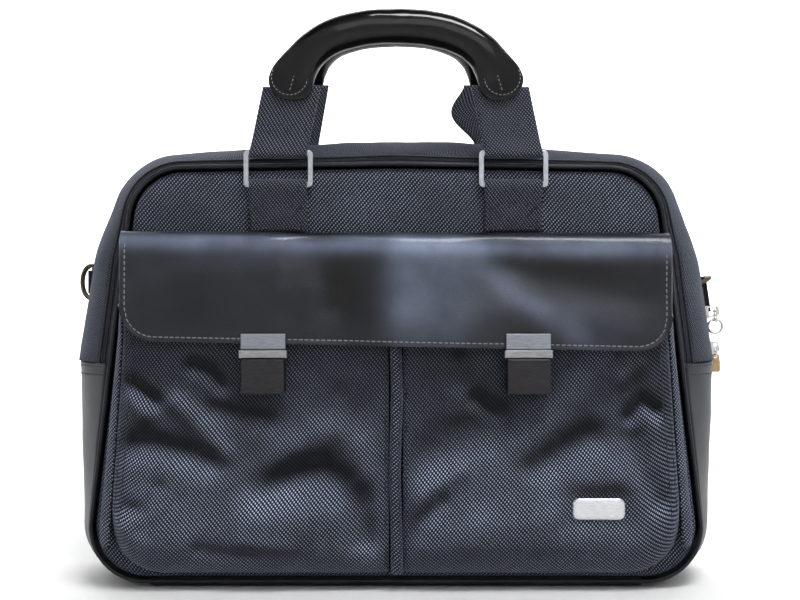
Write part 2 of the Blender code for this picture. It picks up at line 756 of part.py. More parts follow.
def grip(name, y, base_z, reach, outward):
    """A padded leather grip: a round arch whose flat rounded ends lie on the straps' outer side.

    Each row of the half arch is (x, height over the ring's upper bar, half width, half thickness,
    how far its middle stands out from the straps). reach stretches the legs of the arch.
    """
    flat_out = WEBBING_THICK / 2 + GAP + 0.0024
    half_arch = (
        (0.0735, 0.0360, 0.0060, 0.0016, flat_out),
        (0.0722, 0.0395, 0.0120, 0.0022, flat_out),
        (0.0705, 0.0440, 0.0142, 0.0023, flat_out),
        (0.0690, 0.0485, 0.0145, 0.0024, flat_out),
        (0.0655, 0.0560, 0.0128, 0.0065, 0.0022),
        (0.0600, 0.0645, 0.0112, 0.0100, 0.0006),
        (0.0510, 0.0730, GRIP_RADIUS, GRIP_RADIUS, 0.0),
        (0.0390, 0.0790, GRIP_RADIUS, GRIP_RADIUS, 0.0),
        (0.0240, 0.0828, GRIP_RADIUS, GRIP_RADIUS, 0.0),
        (0.0080, 0.0842, GRIP_RADIUS, GRIP_RADIUS, 0.0),
    )
    arch = [(x, h + reach, w, t, o) for x, h, w, t, o in half_arch]
    arch = arch + [(-x, h, w, t, o) for x, h, w, t, o in reversed(arch)]
    bm = bmesh.new()
    rings = []
    for i, (x, height, width, thick, out) in enumerate(arch):
        before = arch[max(i - 1, 0)]
        after = arch[min(i + 1, len(arch) - 1)]
        along = Vector((after[0] - before[0], after[1] - before[1])).normalized()
        across = Vector((along.y, -along.x))
        loop = []
        for k in range(GRIP_SIDES):
            angle = 2 * math.pi * k / GRIP_SIDES
            u = width * math.cos(angle)
            v = thick * math.sin(angle)
            place = (x + across.x * u, y + outward * out + v, base_z + height + across.y * u)
            loop.append(bm.verts.new(place))
        rings.append(loop)
    for one, two in zip(rings, rings[1:]):
        for k in range(GRIP_SIDES):
            after = (k + 1) % GRIP_SIDES
            bm.faces.new((one[k], one[after], two[after], two[k]))
    bm.faces.new(rings[0])
    bm.faces.new(list(reversed(rings[-1])))
    bmesh.ops.recalc_face_normals(bm, faces=bm.faces)
    made = keep(mesh_object(name, bm), LEATHER, 60)
    turn_about(made, (0, y, base_z))


def handle(which, y, bar_z, extra, outward, tail_end):
    """One handle with its two rings and the tabs that hold them."""
    upper_z = bar_z + RING_HEIGHT - RING_BAR
    for side, sign in (("left", -1), ("right", 1)):
        x = sign * RING_X
        ring(f"{which}_{side}_ring", x, y, bar_z)
        tab(f"{which}_{side}_tab", x, y, bar_z, tail_end, outward)
        strap(f"{which}_{side}_strap", x, y, upper_z, upper_z + 0.0440 + extra)
    grip(f"{which}_grip", y, upper_z, extra, outward)


# ---------------------------------------------------------------- side rings


def d_shape():
    """A D in its own plane: a straight bar on v, and a bow that reaches out along u."""
    bow = [
        (D_RING_DEPTH * math.sin(turn) ** 0.8, -D_RING_HALF * math.cos(turn))
        for turn in (math.pi * i / 12 for i in range(1, 12))
    ]
    return [(0.0, -D_RING_HALF), (0.0, 0.0), (0.0, D_RING_HALF)] + list(reversed(bow))


def side_loop(name, place, tail):
    """The narrow webbing loop of a side ring; it is drawn round the bar, with its tail along -v."""
    outlines = loop_profile((0.0, 0.0), -tail, 1)
    width = 2 * (D_RING_HALF - D_RING_WIRE) - 0.0040
    flat(name, outlines, width, place, WEB)


def side_rings():
    wide = half_width(D_RING_Y - 0.004, D_RING_Z - D_RING_HALF)
    bar_x = wide + 0.0008 + LOOP_OUTER
    # Left: the bar stands upright and the ring swings like a door; the tail runs to the back.
    bar = Vector((-bar_x, D_RING_Y, D_RING_Z))
    points = [(bar.x - u, bar.y, bar.z + v) for u, v in d_shape()]
    made = tube("left_d_ring", points, D_RING_WIRE, BRONZE, closed=True)
    turn_about(made, bar)
    turn = Matrix(((-1, 0, 0), (0, -1, 0), (0, 0, 1))).to_4x4()
    side_loop("left_d_loop", Matrix.Translation(bar) @ turn, LEFT_TAIL)

    # Right: the bar lies along the depth, the ring stands out a little raised, the tail runs down.
    wide = half_width(D_RING_Y - 0.010, D_RING_Z)
    bar = Vector((wide + 0.0010 + LOOP_OUTER, D_RING_Y, D_RING_Z))
    lift = math.radians(D_RING_LIFT)
    points = [
        (bar.x + u * math.cos(lift), bar.y + v, bar.z + u * math.sin(lift))
        for u, v in d_shape()
    ]
    made = tube("right_d_ring", points, D_RING_WIRE, BRONZE, closed=True)
    turn_about(made, bar)
    turn = Matrix(((-1, 0, 0), (0, 0, 1), (0, 1, 0))).to_4x4()
    place = Matrix.Translation(bar) @ Matrix.Rotation(-SIDE_SLOPE, 4, "Y") @ turn
    side_loop("right_d_loop", place, RIGHT_TAIL)


# ---------------------------------------------------------------- zip sliders and pulls


def slider(name, height):
    """A zip slider on the right-hand side: a body on the chain with a bridge over the pull's bar."""
    surface = half_width(ZIP_Y, height)
    pivot = PULL_PIVOT_X - surface
    half = SLIDER_HALF
    body = keep(box_mesh(name, (0.0006, -half, -half), (0.0032, half, half)), STEEL)
    top = pivot + 0.0024
    under = pivot + 0.0012
    outer = [(0.0030, -0.0042), (top, -0.0030), (top, 0.0030), (0.0030, 0.0042)]
    inner = [(0.0026, 0.0030), (under, 0.0022), (under, -0.0022), (0.0026, -0.0030)]
    bridge = as_mesh(flat(f"{name}_bridge", [outer + inner], 0.0026, facing_y(0.0), STEEL))
    join(body, bridge)
    place = Matrix.Translation((surface, ZIP_Y, height)) @ Matrix.Rotation(-SIDE_SLOPE, 4, "Y")
    body.matrix_world = place
    bridge.matrix_world = place @ bridge.matrix_world
    return place @ Vector((pivot, 0, 0))


def link(name, pivot, length):
    """A small frame that hangs from a slider's bridge, its upper bar under the bridge."""
    high = LINK_BAR / 2
    low = high - length
    outer = rectangle(LINK_HALF, low, high, 0.0, 1)
    inner = rectangle(LINK_HALF - LINK_BAR, low + LINK_BAR, high - LINK_BAR, 0.0, 1)
    place = Matrix.Translation((0, pivot.y, pivot.z)) @ facing_x(pivot.x)
    flat(name, [outer, inner], LINK_BAR, place, STEEL)
    return pivot.z + low + LINK_BAR / 2


def zip_pulls():
    pivot = slider("upper_zip_slider", UPPER_SLIDER_Z)
    bar_z = link("upper_pull_link", pivot, UPPER_LINK)
    centre_z = bar_z - (PULL_RING_RADIUS - PULL_RING_WIRE - LINK_BAR / 2 - GAP)
    circle = arc((pivot.x, centre_z), PULL_RING_RADIUS, 90, 435, 23)
    made = tube("upper_pull_ring", [(x, ZIP_Y, z) for x, z in circle], PULL_RING_WIRE, STEEL, True)
    turn_about(made, pivot)

    pivot = slider("lower_zip_slider", LOWER_SLIDER_Z)
    bar_z = link("lower_pull_link", pivot, LOWER_LINK)
    wide, narrow = 0.0032, 0.0022
    top = bar_z + 0.0022
    low = top - TAB_LENGTH
    corners = [
        (pivot.x - wide, low, 0.0012),
        (pivot.x + wide, low, 0.0012),
        (pivot.x + wide, low + 0.0070, 0.0010),
        (pivot.x + narrow, top, 0.0016),
        (pivot.x - narrow, top, 0.0016),
        (pivot.x - wide, low + 0.0070, 0.0010),
    ]
    hole = arc((pivot.x, bar_z), 0.0012, 0, 330, 11)
    outlines = [rounded(corners, (3,) * 6), hole]
    made = flat("lower_pull_tab", outlines, TAB_THICK, facing_y(ZIP_Y), BRASS)
    turn_about(made, pivot)


# ---------------------------------------------------------------- the whole bag

body_shell()
base()
front_piping()
pockets()
badge()
flap()
lock("left", -LOCK_X)
lock("right", LOCK_X)
handle("front", FRONT_RING_Y, FRONT_RING_Z, 0.0, -1, FRONT_TAIL_END)
handle("rear", REAR_RING_Y, REAR_RING_Z, REAR_EXTRA, 1, REAR_RING_Z - REAR_TAIL)
side_rings()
zip_pulls()
bpy.context.view_layer.update()
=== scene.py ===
"""The look of a soft nylon laptop briefcase with a leather flap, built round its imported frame.

Metres; +X to the bag's right as seen from the front, -Y to the front, +Z up.
"""

import math

import bmesh
import bpy
import numpy as np
from mathutils import Matrix, Vector, noise


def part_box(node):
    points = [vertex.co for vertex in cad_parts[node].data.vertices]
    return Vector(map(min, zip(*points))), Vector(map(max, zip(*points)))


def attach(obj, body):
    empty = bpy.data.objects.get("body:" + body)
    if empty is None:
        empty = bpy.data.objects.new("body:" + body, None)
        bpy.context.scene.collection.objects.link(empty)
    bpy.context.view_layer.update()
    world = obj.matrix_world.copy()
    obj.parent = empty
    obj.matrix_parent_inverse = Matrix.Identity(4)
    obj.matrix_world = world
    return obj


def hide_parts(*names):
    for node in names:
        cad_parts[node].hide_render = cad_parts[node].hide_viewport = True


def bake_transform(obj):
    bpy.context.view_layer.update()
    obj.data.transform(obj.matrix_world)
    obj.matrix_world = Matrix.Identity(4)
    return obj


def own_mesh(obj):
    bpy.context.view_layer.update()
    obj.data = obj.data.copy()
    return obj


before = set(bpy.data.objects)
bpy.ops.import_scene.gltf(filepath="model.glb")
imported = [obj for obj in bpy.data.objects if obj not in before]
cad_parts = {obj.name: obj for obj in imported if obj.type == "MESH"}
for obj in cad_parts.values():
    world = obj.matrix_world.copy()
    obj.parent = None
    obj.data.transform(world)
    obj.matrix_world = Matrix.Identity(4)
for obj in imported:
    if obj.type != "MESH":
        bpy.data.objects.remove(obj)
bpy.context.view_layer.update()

# ---------------------------------------------------------------- front and back panels
# Two panels of padded ballistic nylon close the bag at front and back. The cloth is a thick
# twill with a matt navy-black face, sewn to foam and lining, and crowned between its seams.

FRONT_Y, WIDEST_Y, BACK_Y = -0.031, 0.020, 0.053
PATCH_TOP = 0.150
BASE_HALF = 0.165
# Half outlines of the body from the floor to the crown: (x, z, corner radius).
FRONT_OUTLINE = (
    (BASE_HALF, 0.0036, 0.0),
    (0.2090, 0.0036, 0.037),
    (0.1916, PATCH_TOP, 0.0),
    (0.1825, 0.2220, 0.200),
    (0.1750, 0.2810, 0.038),
    (0.0000, 0.2840, 0.900),
)
WIDEST_OUTLINE = (
    (BASE_HALF, 0.0034, 0.0),
    (0.2160, 0.0034, 0.036),
    (0.2225, PATCH_TOP, 0.0),
    (0.2120, 0.2220, 0.080),
    (0.1840, 0.2910, 0.048),
    (0.0000, 0.3060, 0.900),
)
BACK_OUTLINE = (
    (BASE_HALF, 0.0050, 0.0),
    (0.2100, 0.0050, 0.034),
    (0.2150, PATCH_TOP, 0.0),
    (0.2050, 0.2180, 0.080),
    (0.1780, 0.2840, 0.046),
    (0.0000, 0.2980, 0.900),
)
CORNER_STEPS = (0, 12, 0, 3, 14, 4)
THREAD_STEP = 0.0042  # spacing of the points along the outline
WALL = 0.0025
BAG_MIDDLE = np.array((0.0, 0.012, 0.150))


def rounded(corners, steps):
    """A closed outline with every corner rounded by its own radius."""
    points = []
    for i, (x, z, radius) in enumerate(corners):
        if radius == 0.0:
            points.append((x, z))
            continue
        here = Vector((x, z))
        back = (Vector(corners[i - 1][:2]) - here).normalized()
        ahead = (Vector(corners[(i + 1) % len(corners)][:2]) - here).normalized()
        half = back.angle(ahead) / 2
        centre = here + (back + ahead).normalized() * radius / math.sin(half)
        first = here + back * radius / math.tan(half) - centre
        last = here + ahead * radius / math.tan(half) - centre
        turn = first.angle_signed(last)
        for k in range(steps[i] + 1):
            points.append(tuple(centre + Matrix.Rotation(-turn * k / steps[i], 2) @ first))
    return np.array(points)


def whole_outline(half):
    """Up the right side, over the crown and down the left side."""
    mirrored = [(-x, z, radius) for x, z, radius in reversed(half[:-1])]
    return rounded(list(half) + mirrored, CORNER_STEPS + CORNER_STEPS[-2::-1])


rough = [whole_outline(o) for o in (FRONT_OUTLINE, WIDEST_OUTLINE, BACK_OUTLINE)]
edges = np.linalg.norm(np.roll(rough[1], -1, 0) - rough[1], axis=1)
splits = np.maximum(1, np.ceil(edges / THREAD_STEP)).astype(int)
STARTS = np.concatenate(([0], np.cumsum(splits)))
COUNT = int(STARTS[-1])  # points round the outline
PATCH = int(STARTS[2 + CORNER_STEPS[1]])  # the point where the right leather patch ends
FOOT = int(STARTS[len(rough[0]) - 1])  # the point where the flat bottom begins


def fine(points):
    """The outline with its edges split into short steps, the same number for every outline."""
    shares = [np.arange(n) / n for n in splits]
    ends = np.roll(points, -1, 0)
    return np.concatenate(
        [a + (b - a) * s[:, None] for a, b, s in zip(points, ends, shares)]
    )


FRONT, WIDEST, BACK = (fine(points) for points in rough)


def section(y):
    """The body's outline at a depth: it bulges from the front to the main zip, then draws in."""
    if y <= WIDEST_Y:
        share = math.sin(math.pi / 2 * (y - FRONT_Y) / (WIDEST_Y - FRONT_Y))
        return FRONT + (WIDEST - FRONT) * share
    share = 1 - math.cos(math.pi / 2 * (y - WIDEST_Y) / (BACK_Y - WIDEST_Y))
    return WIDEST + (BACK - WIDEST) * share


def drawn_in(outline, distance):
    """The outline moved inwards by a distance, or outwards by a negative one."""
    along = np.roll(outline, -1, 0) - np.roll(outline, 1, 0)
    inward = np.stack((-along[:, 1], along[:, 0]), 1)
    return outline + inward / np.linalg.norm(inward, axis=1)[:, None] * distance


def face_normals(grid):
    """Unit normals of a grid of points, pointing away from the middle of the bag."""
    normal = np.cross(np.gradient(grid, axis=0), np.gradient(grid, axis=1))
    length = np.linalg.norm(normal, axis=2)[..., None]
    normal = normal / np.maximum(length, 1e-12)
    outward = np.sum(normal * (grid - BAG_MIDDLE))
    return normal if outward > 0 else -normal


def puffed(grid, amount):
    """The grid moved out along its own normals."""
    return grid + face_normals(grid) * np.asarray(amount)[..., None]


def ripple(grid, size, seed):
    """Smooth noise from -1 to 1 at each point of a grid; size is the length of one ripple."""
    shift = Vector((seed * 7.3, seed * 3.1, seed * 1.7))
    flat = [noise.fractal(Vector(p) / size + shift, 1.0, 2.0, 3) for p in grid.reshape(-1, 3)]
    return np.array(flat).reshape(grid.shape[:2])


def painted_fold_light(grid, out, strength=1.6):
    """Painted light and shade of a folded surface: slopes that face up and raised crowns are painted
    paler, slopes that face down and hollows are painted darker.
    """
    heights = np.maximum(np.abs(np.gradient(grid[..., 2], axis=0)), 1e-5)
    rising = np.gradient(out, axis=0) * np.sign(np.gradient(grid[..., 2], axis=0)) / heights
    return np.clip(-strength * rising + 40.0 * out, -0.88, 0.90)


def skin(name, grid, finish, thickness=0.0, facing=None, edge=0.0, painted_light=None):
    """A sheet of material through a grid of points, with a map in metres along its threads."""
    rows, columns = grid.shape[:2]
    normal = np.cross(
        np.gradient(grid, axis=0).reshape(-1, 3), np.gradient(grid, axis=1).reshape(-1, 3)
    )
    away = grid.reshape(-1, 3) - (BAG_MIDDLE if facing is None else np.array(facing))
    if np.sum(normal * away) < 0:
        grid = grid[:, ::-1]
        painted_light = None if painted_light is None else painted_light[:, ::-1]
    across = np.linalg.norm(np.diff(grid, axis=1), axis=2).mean(0)
    down = np.linalg.norm(np.diff(grid, axis=0), axis=2).mean(1)
    u = np.concatenate(([0], np.cumsum(across)))
    v = np.concatenate(([0], np.cumsum(down)))
    bm = bmesh.new()
    points = [[bm.verts.new(p) for p in row] for row in grid]
    cloth = bm.loops.layers.uv.new("threads")
    for i in range(rows - 1):
        above, below = points[i], points[i + 1]
        for j in range(columns - 1):
            face = bm.faces.new((above[j], below[j], below[j + 1], above[j + 1]))
            spots = ((u[j], v[i]), (u[j], v[i + 1]), (u[j + 1], v[i + 1]), (u[j + 1], v[i]))
            for loop, spot in zip(face.loops, spots):
                loop[cloth].uv = spot
            face.smooth = True
    obj = finished(name, bm, finish, thickness, edge)
    if painted_light is not None:
        # painted light and shade, kept on the mesh for its material to multiply into the base colour
        painted_light_map = obj.data.attributes.new("painted_light", "FLOAT", "POINT")
        painted_light_map.data.foreach_set("value", painted_light.reshape(-1).astype(np.float32))
    return obj


def finished(name, bm, finish, thickness=0.0, edge=0.0):
    """An object of a mesh with its material, thickened inwards and with its edges rounded."""
    mesh = bpy.data.meshes.new(name)
    bm.to_mesh(mesh)
    bm.free()
    mesh.materials.append(finish)
    obj = bpy.data.objects.new(name, mesh)
    bpy.context.scene.collection.objects.link(obj)
    if thickness:
        body = obj.modifiers.new("thickness", "SOLIDIFY")
        body.thickness = thickness
        body.offset = -1.0
    if edge:
        soft = obj.modifiers.new("soft edges", "BEVEL")
        soft.width = edge
        soft.segments = 2
        soft.limit_method = "ANGLE"
        soft.angle_limit = math.radians(50)
    return obj


def shader_nodes(name, roughness, metallic=0.0, sheen=0.0):
    """A new material with its node tree and its main shader."""
    made = bpy.data.materials.new(name)
    made.use_nodes = True
    shader = made.node_tree.nodes["Principled BSDF"]
    shader.inputs["Roughness"].default_value = roughness
    shader.inputs["Metallic"].default_value = metallic
    shader.inputs["Sheen Weight"].default_value = sheen
    return made, made.node_tree, shader


def add(tree, kind, links=(), **inputs):
    """A node with its inputs set by name; links are (own input, other node, other output)."""
    node = tree.nodes.new("ShaderNode" + kind)
    for key, value in inputs.items():
        socket = key.replace("_", " ")
        if socket in node.inputs:
            node.inputs[socket].default_value = value
        else:
            setattr(node, key, value)
    for own, other, output in links:
        tree.links.new(node.inputs[own], other.outputs[output])
    return node


def shades(tree, source, output, stops):
    """A colour ramp on a value: stops are (place, colour)."""
    ramp = add(tree, "ValToRGB", [("Fac", source, output)])
    points = ramp.color_ramp.elements
    while len(points) < len(stops):
        points.new(0.5)
    for point, (place, colour) in zip(points, stops):
        point.position = place
        point.color = (*colour, 1.0)
    return ramp


def remapped(tree, source, before, after):
    """A texture's value moved from one range to another."""
    node = add(tree, "MapRange", [("Value", source, "Fac")])
    for name, (low, high) in (("From", before), ("To", after)):
        node.inputs[name + " Min"].default_value = low
        node.inputs[name + " Max"].default_value = high
    return node


def one_and_painted_light(tree):
    """1 plus the painted light that the mesh carries: over 1 where light is painted on, under 1
    where shade is painted on.
    """
    gloss_and_painted_light = add(tree, "Attribute", attribute_name="painted_light")
    node = add(tree, "Math", [(0, gloss_and_painted_light, "Fac")], operation="ADD")
    node.inputs[1].default_value = 1.0
    return node


def ribs(tree, turn, pitch, distortion=0.0):
    """Straight ribs across the map's threads, pitch metres apart."""
    place = add(tree, "TexCoord")
    turned = add(tree, "Mapping", [("Vector", place, "UV")])
    turned.inputs["Rotation"].default_value = (0.0, 0.0, math.radians(turn))
    return add(
        tree,
        "TexWave",
        [("Vector", turned, "Vector")],
        Scale=math.pi / 10 / pitch,
        Distortion=distortion,
        Detail=1.0,
        Detail_Scale=1.5,
    )


def woven(name, dark, light, pitch=0.0018, turn=42.0, roughness=0.72, depth=0.00035):
    """Twill: raised slanting ribs, cut into short floats by the threads that cross them."""
    made, tree, shader = shader_nodes(name, roughness, 0.0, 0.25)
    shader.inputs["Sheen Roughness"].default_value = 0.45
    shader.inputs["Sheen Tint"].default_value = (0.70, 0.78, 1.0, 1.0)
    shader.inputs["Specular IOR Level"].default_value = 0.35
    slant = ribs(tree, turn, pitch, 0.4)
    cross = ribs(tree, turn - 78, pitch * 0.78, 0.3)
    height = add(tree, "Math", [(0, slant, "Fac"), (1, cross, "Fac")], operation="MULTIPLY")
    place = add(tree, "TexCoord")
    fuzz = add(tree, "TexNoise", [("Vector", place, "UV")], Scale=2600.0, Detail=2.0)
    uneven = add(tree, "TexNoise", [("Vector", place, "UV")], Scale=26.0, Detail=3.0)
    sum_up = add(tree, "Math", [(0, height, 0), (1, fuzz, "Fac")], operation="ADD")
    middle = tuple(a * 0.76 + b * 0.24 for a, b in zip(dark, light))
    shade = shades(tree, sum_up, 0, ((0.62, dark), (0.84, middle), (1.0, light)))
    patchy = remapped(tree, uneven, (0.3, 0.75), (0.82, 1.22))
    # painted light and shade: the cloth's colour is scaled by the light and shade painted on the
    # mesh
    gloss_and_painted_light = one_and_painted_light(tree)
    both = add(tree, "Math", [(0, patchy, "Result"), (1, gloss_and_painted_light, 0)], operation="MULTIPLY")
    tone_with_painted_light = add(tree, "VectorMath", [(0, shade, "Color"), (1, both, 0)], operation="MULTIPLY")
    tree.links.new(shader.inputs["Base Color"], tone_with_painted_light.outputs["Vector"])
    bump = add(tree, "Bump", [("Height", sum_up, 0)], Strength=0.8, Distance=depth)
    tree.links.new(shader.inputs["Normal"], bump.outputs["Normal"])
    return made


NYLON = woven("ballistic nylon", (0.0018, 0.0022, 0.0034), (0.245, 0.276, 0.360), 0.0021)
# painted shade: the gusset's nylon is a darker copy, standing in for the shade between its ribs on
# the top faces that catch the key light
SHADED_GUSSET_NYLON = woven("gusset nylon", (0.0018, 0.0022, 0.0034), (0.098, 0.111, 0.150), 0.0017, 52)


PANEL_RINGS = 44
PANEL_MIDDLE = 0.30  # the middle line is this share of the panel's width
PANEL_ROLL = (0.008, 0.0022)  # how far from the seam the edge is rounded, and how high
PANEL_CROWN = 0.10  # how far from the seam the crown is full
PANEL_SEAM = 0.0018  # the seam lies this much behind the panel's plane
PANEL_WAVES = (0.055, 0.0011, 0.015)  # length, height, and how far from the seam they are full


def panel(name, y, out, edge_inset, swell, seed):
    """A panel from its seam inwards: rings of the outline that shrink to a short middle line."""
    outline = drawn_in(section(y), edge_inset)
    middle = np.stack((outline[:, 0] * PANEL_MIDDLE, outline[:, 1] * 0.0 + BAG_MIDDLE[2]), 1)
    shares = 1 - (1 - np.linspace(0, 1, PANEL_RINGS)) ** 1.25
    grid = np.array([outline + (middle - outline) * s for s in shares])
    points = np.stack((grid[..., 0], np.full(grid.shape[:2], y), grid[..., 1]), 2)
    reach = np.linalg.norm(grid - outline, axis=2)
    roll_width, roll_height = PANEL_ROLL
    wave_length, wave_height, wave_start = PANEL_WAVES
    round_edge = np.sqrt(np.clip(1 - (1 - np.clip(reach / roll_width, 0, 1)) ** 2, 0, 1))
    crown = swell * np.sin(np.clip(reach / PANEL_CROWN, 0, 1) * math.pi / 2)
    waves = ripple(points, wave_length, seed) * wave_height * np.clip(reach / wave_start, 0, 1)
    points[..., 1] += out * (round_edge * roll_height + crown + waves - PANEL_SEAM)
    points = np.concatenate((points, points[:, :1]), 1)
    obj = skin(name, points, NYLON, WALL * 0.6)
    # straight threads: the map lies flat in x and z
    cloth = obj.data.uv_layers["threads"].data
    for loop in obj.data.loops:
        spot = obj.data.vertices[loop.vertex_index].co
        cloth[loop.index].uv = (spot.x + 0.3, spot.z)
    return obj


front_panel = panel("front_panel_cloth", FRONT_Y, -1, 0.0042, 0.0012, 1)
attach(front_panel, "bag")
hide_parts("front_panel")
back_panel = panel("back_panel_cloth", BACK_Y, 1, 0.0030, 0.0022, 2)
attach(back_panel, "bag")
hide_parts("back_panel")

# ---------------------------------------------------------------- gusset round the top and sides
# Two strips of the same nylon run over the top and down to the leather patches. They are padded,
# sewn to the zips along both edges, and stand proud between their seams.


def strip(first, last, y_from, y_to, columns, swell, seed=0, waves=0.0):
    """Points of a strip that follows the body's outline: rows run round the bag."""
    around = np.arange(first, last + 1) % COUNT
    grid = []
    for y in np.linspace(y_from, y_to, columns):
        outline = section(y)[around]
        grid.append(np.stack((outline[:, 0], np.full(len(around), y), outline[:, 1]), 1))
    grid = np.array(grid)
    across = np.linspace(0, 1, columns)[:, None]
    lift = swell * np.sin(math.pi * across) ** 0.6 + np.zeros(grid.shape[:2])
    if waves:
        lift = lift + ripple(grid, 0.045, seed) * waves * np.sin(math.pi * across) ** 0.5
    return puffed(grid, lift)


ARCH = (PATCH, FOOT - PATCH)
for name, y_from, y_to, columns, seed in (
    ("gusset_front", -0.0227, 0.0170, 13, 3),
    ("gusset_rear", 0.0250, 0.0528, 10, 4),
):
    grid = strip(*ARCH, y_from, y_to, columns, 0.0014, seed, 0.0009)
    made = skin(name + "_cloth", grid, SHADED_GUSSET_NYLON, WALL * 0.7)
    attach(made, "bag")
    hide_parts(name)

# ---------------------------------------------------------------- zips
# A coil zip runs over the top in front of the main one, and both are sewn on narrow black tapes
# of fine woven polyester. The coils are spun nylon; the main one is a little coarser and greyer.

TAPE = woven("zip tape", (0.004, 0.0045, 0.006), (0.030, 0.034, 0.046), 0.0009, 40, 0.8, 0.00015)


def coil_finish(name, colour):
    """Spun plastic with a fine grain, as zip coils and stiffeners have."""
    made, tree, shader = shader_nodes(name, 0.38)
    place = add(tree, "TexCoord")
    grain = add(tree, "TexNoise", [("Vector", place, "Object")], Scale=900.0, Detail=2.0)
    light = tuple(min(1.0, c * 1.9) for c in colour)
    shade = shades(tree, grain, "Fac", ((0.35, colour), (0.7, light)))
    tree.links.new(shader.inputs["Base Color"], shade.outputs["Color"])
    bump = add(tree, "Bump", [("Height", grain, "Fac")], Strength=0.4, Distance=0.0001)
    tree.links.new(shader.inputs["Normal"], bump.outputs["Normal"])
    return made


DARK_COIL = coil_finish("dark zip coil", (0.020, 0.021, 0.025))
GREY_COIL = coil_finish("grey zip coil", (0.090, 0.092, 0.098))


def along(path, pitch):
    """Evenly spaced points and directions along a line of points."""
    path = np.asarray(path, float)
    steps = np.linalg.norm(np.diff(path, axis=0), axis=1)
    reach = np.concatenate(([0], np.cumsum(steps)))
    count = max(2, int(reach[-1] / pitch))
    spots = (np.arange(count) + 0.5) * reach[-1] / count
    here = np.stack([np.interp(spots, reach, path[:, k]) for k in range(3)], 1)
    ahead = np.stack([np.interp(spots + pitch * 0.2, reach, path[:, k]) for k in range(3)], 1)
    behind = np.stack([np.interp(spots - pitch * 0.2, reach, path[:, k]) for k in range(3)], 1)
    way = ahead - behind
    return here, way / np.linalg.norm(way, axis=1)[:, None], spots


# one small bar: (place along it, share of its full width) of each ring
CAPSULE_RINGS = ((-0.5, 0.35), (-0.36, 0.85), (0.0, 1.0), (0.36, 0.85), (0.5, 0.35))
CAPSULE_SIDES = 6


def capsules(name, rows, finish):
    """Many small rounded bars in one mesh; a row is (middles, directions, ups, length, width)."""
    points = []
    faces = []
    rings, sides = len(CAPSULE_RINGS), CAPSULE_SIDES
    for middles, ways, ups, length, width in rows:
        for middle, way, up in zip(middles, ways, ups):
            side = np.cross(way, up)
            side = side / np.linalg.norm(side)
            rise = np.cross(side, way)
            start = len(points)
            for place, fat in CAPSULE_RINGS:
                for k in range(sides):
                    angle = 2 * math.pi * k / sides
                    across = math.cos(angle) * width / 2 * fat
                    high = math.sin(angle) * width * 0.36 * fat
                    points.append(middle + way * place * length + side * across + rise * high)
            for r in range(rings - 1):
                for k in range(sides):
                    a = start + r * sides + k
                    b = start + r * sides + (k + 1) % sides
                    faces.append((a, a + sides, b + sides, b))
            faces.append(tuple(start + k for k in range(sides)))
            top = start + (rings - 1) * sides
            faces.append(tuple(top + k for k in reversed(range(sides))))
    mesh = bpy.data.meshes.new(name)
    mesh.from_pydata([tuple(p) for p in points], [], faces)
    bm = bmesh.new()
    bm.from_mesh(mesh)
    bmesh.ops.recalc_face_normals(bm, faces=bm.faces)
    for face in bm.faces:
        face.smooth = True
    bpy.data.meshes.remove(mesh)
    return finished(name, bm, finish)


def on_outline(y, lift, first, last):
    """A line over the body's outline at a depth, with its outward directions."""
    outline = section(y)
    outer = drawn_in(outline, -1.0)
    around = np.arange(first, last + 1) % COUNT
    out = (outer - outline)[around]
    line = outline[around] + out * lift
    ys = np.full(len(around), y)
    return np.stack((line[:, 0], ys, line[:, 1]), 1), np.stack((out[:, 0], ys * 0, out[:, 1]), 1)


def ups_for(path, outs, spots):
    """Outward directions at distances along a line."""
    steps = np.linalg.norm(np.diff(path, axis=0), axis=1)
    reach = np.concatenate(([0], np.cumsum(steps)))
    return np.stack([np.interp(spots, reach, outs[:, k]) for k in range(3)], 1)


COIL_LIFT = -0.0001  # the coil lies half in its tape


def zip_run(name, node, y_from, y_to, coil_y, pitch, width, finish):
    """A tape along the outline with a row of coil turns on it."""
    tape = skin(name + "_tape", strip(*ARCH, y_from, y_to, 7, -0.0006), TAPE, 0.0010)
    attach(tape, "bag")
    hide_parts(node)
    path, outs = on_outline(coil_y, COIL_LIFT, *ARCH)
    middles, _, spots = along(path, pitch)
    across = np.tile(np.array((0.0, 1.0, 0.0)), (len(middles), 1))
    ups = ups_for(path, outs, spots)
    coil = capsules(name + "_coil", [(middles, across, ups, width, pitch * 0.72)], finish)
    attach(coil, "bag")


MAIN_ZIP_Y = 0.0210
zip_run("main_zip", "main_zip_chain", 0.0172, 0.0248, MAIN_ZIP_Y, 0.0017, 0.0042, GREY_COIL)
zip_run("front_zip", "front_zip_chain", -0.0309, -0.0229, -0.0270, 0.0014, 0.0030, DARK_COIL)

# ---------------------------------------------------------------- leather patches and bottom
# The lower sides are wrapped in black cowhide, folded in at the top edge and sewn with two rows.
# Between them the bottom is nylon, with a stiff leather-covered slab under it to stand on.


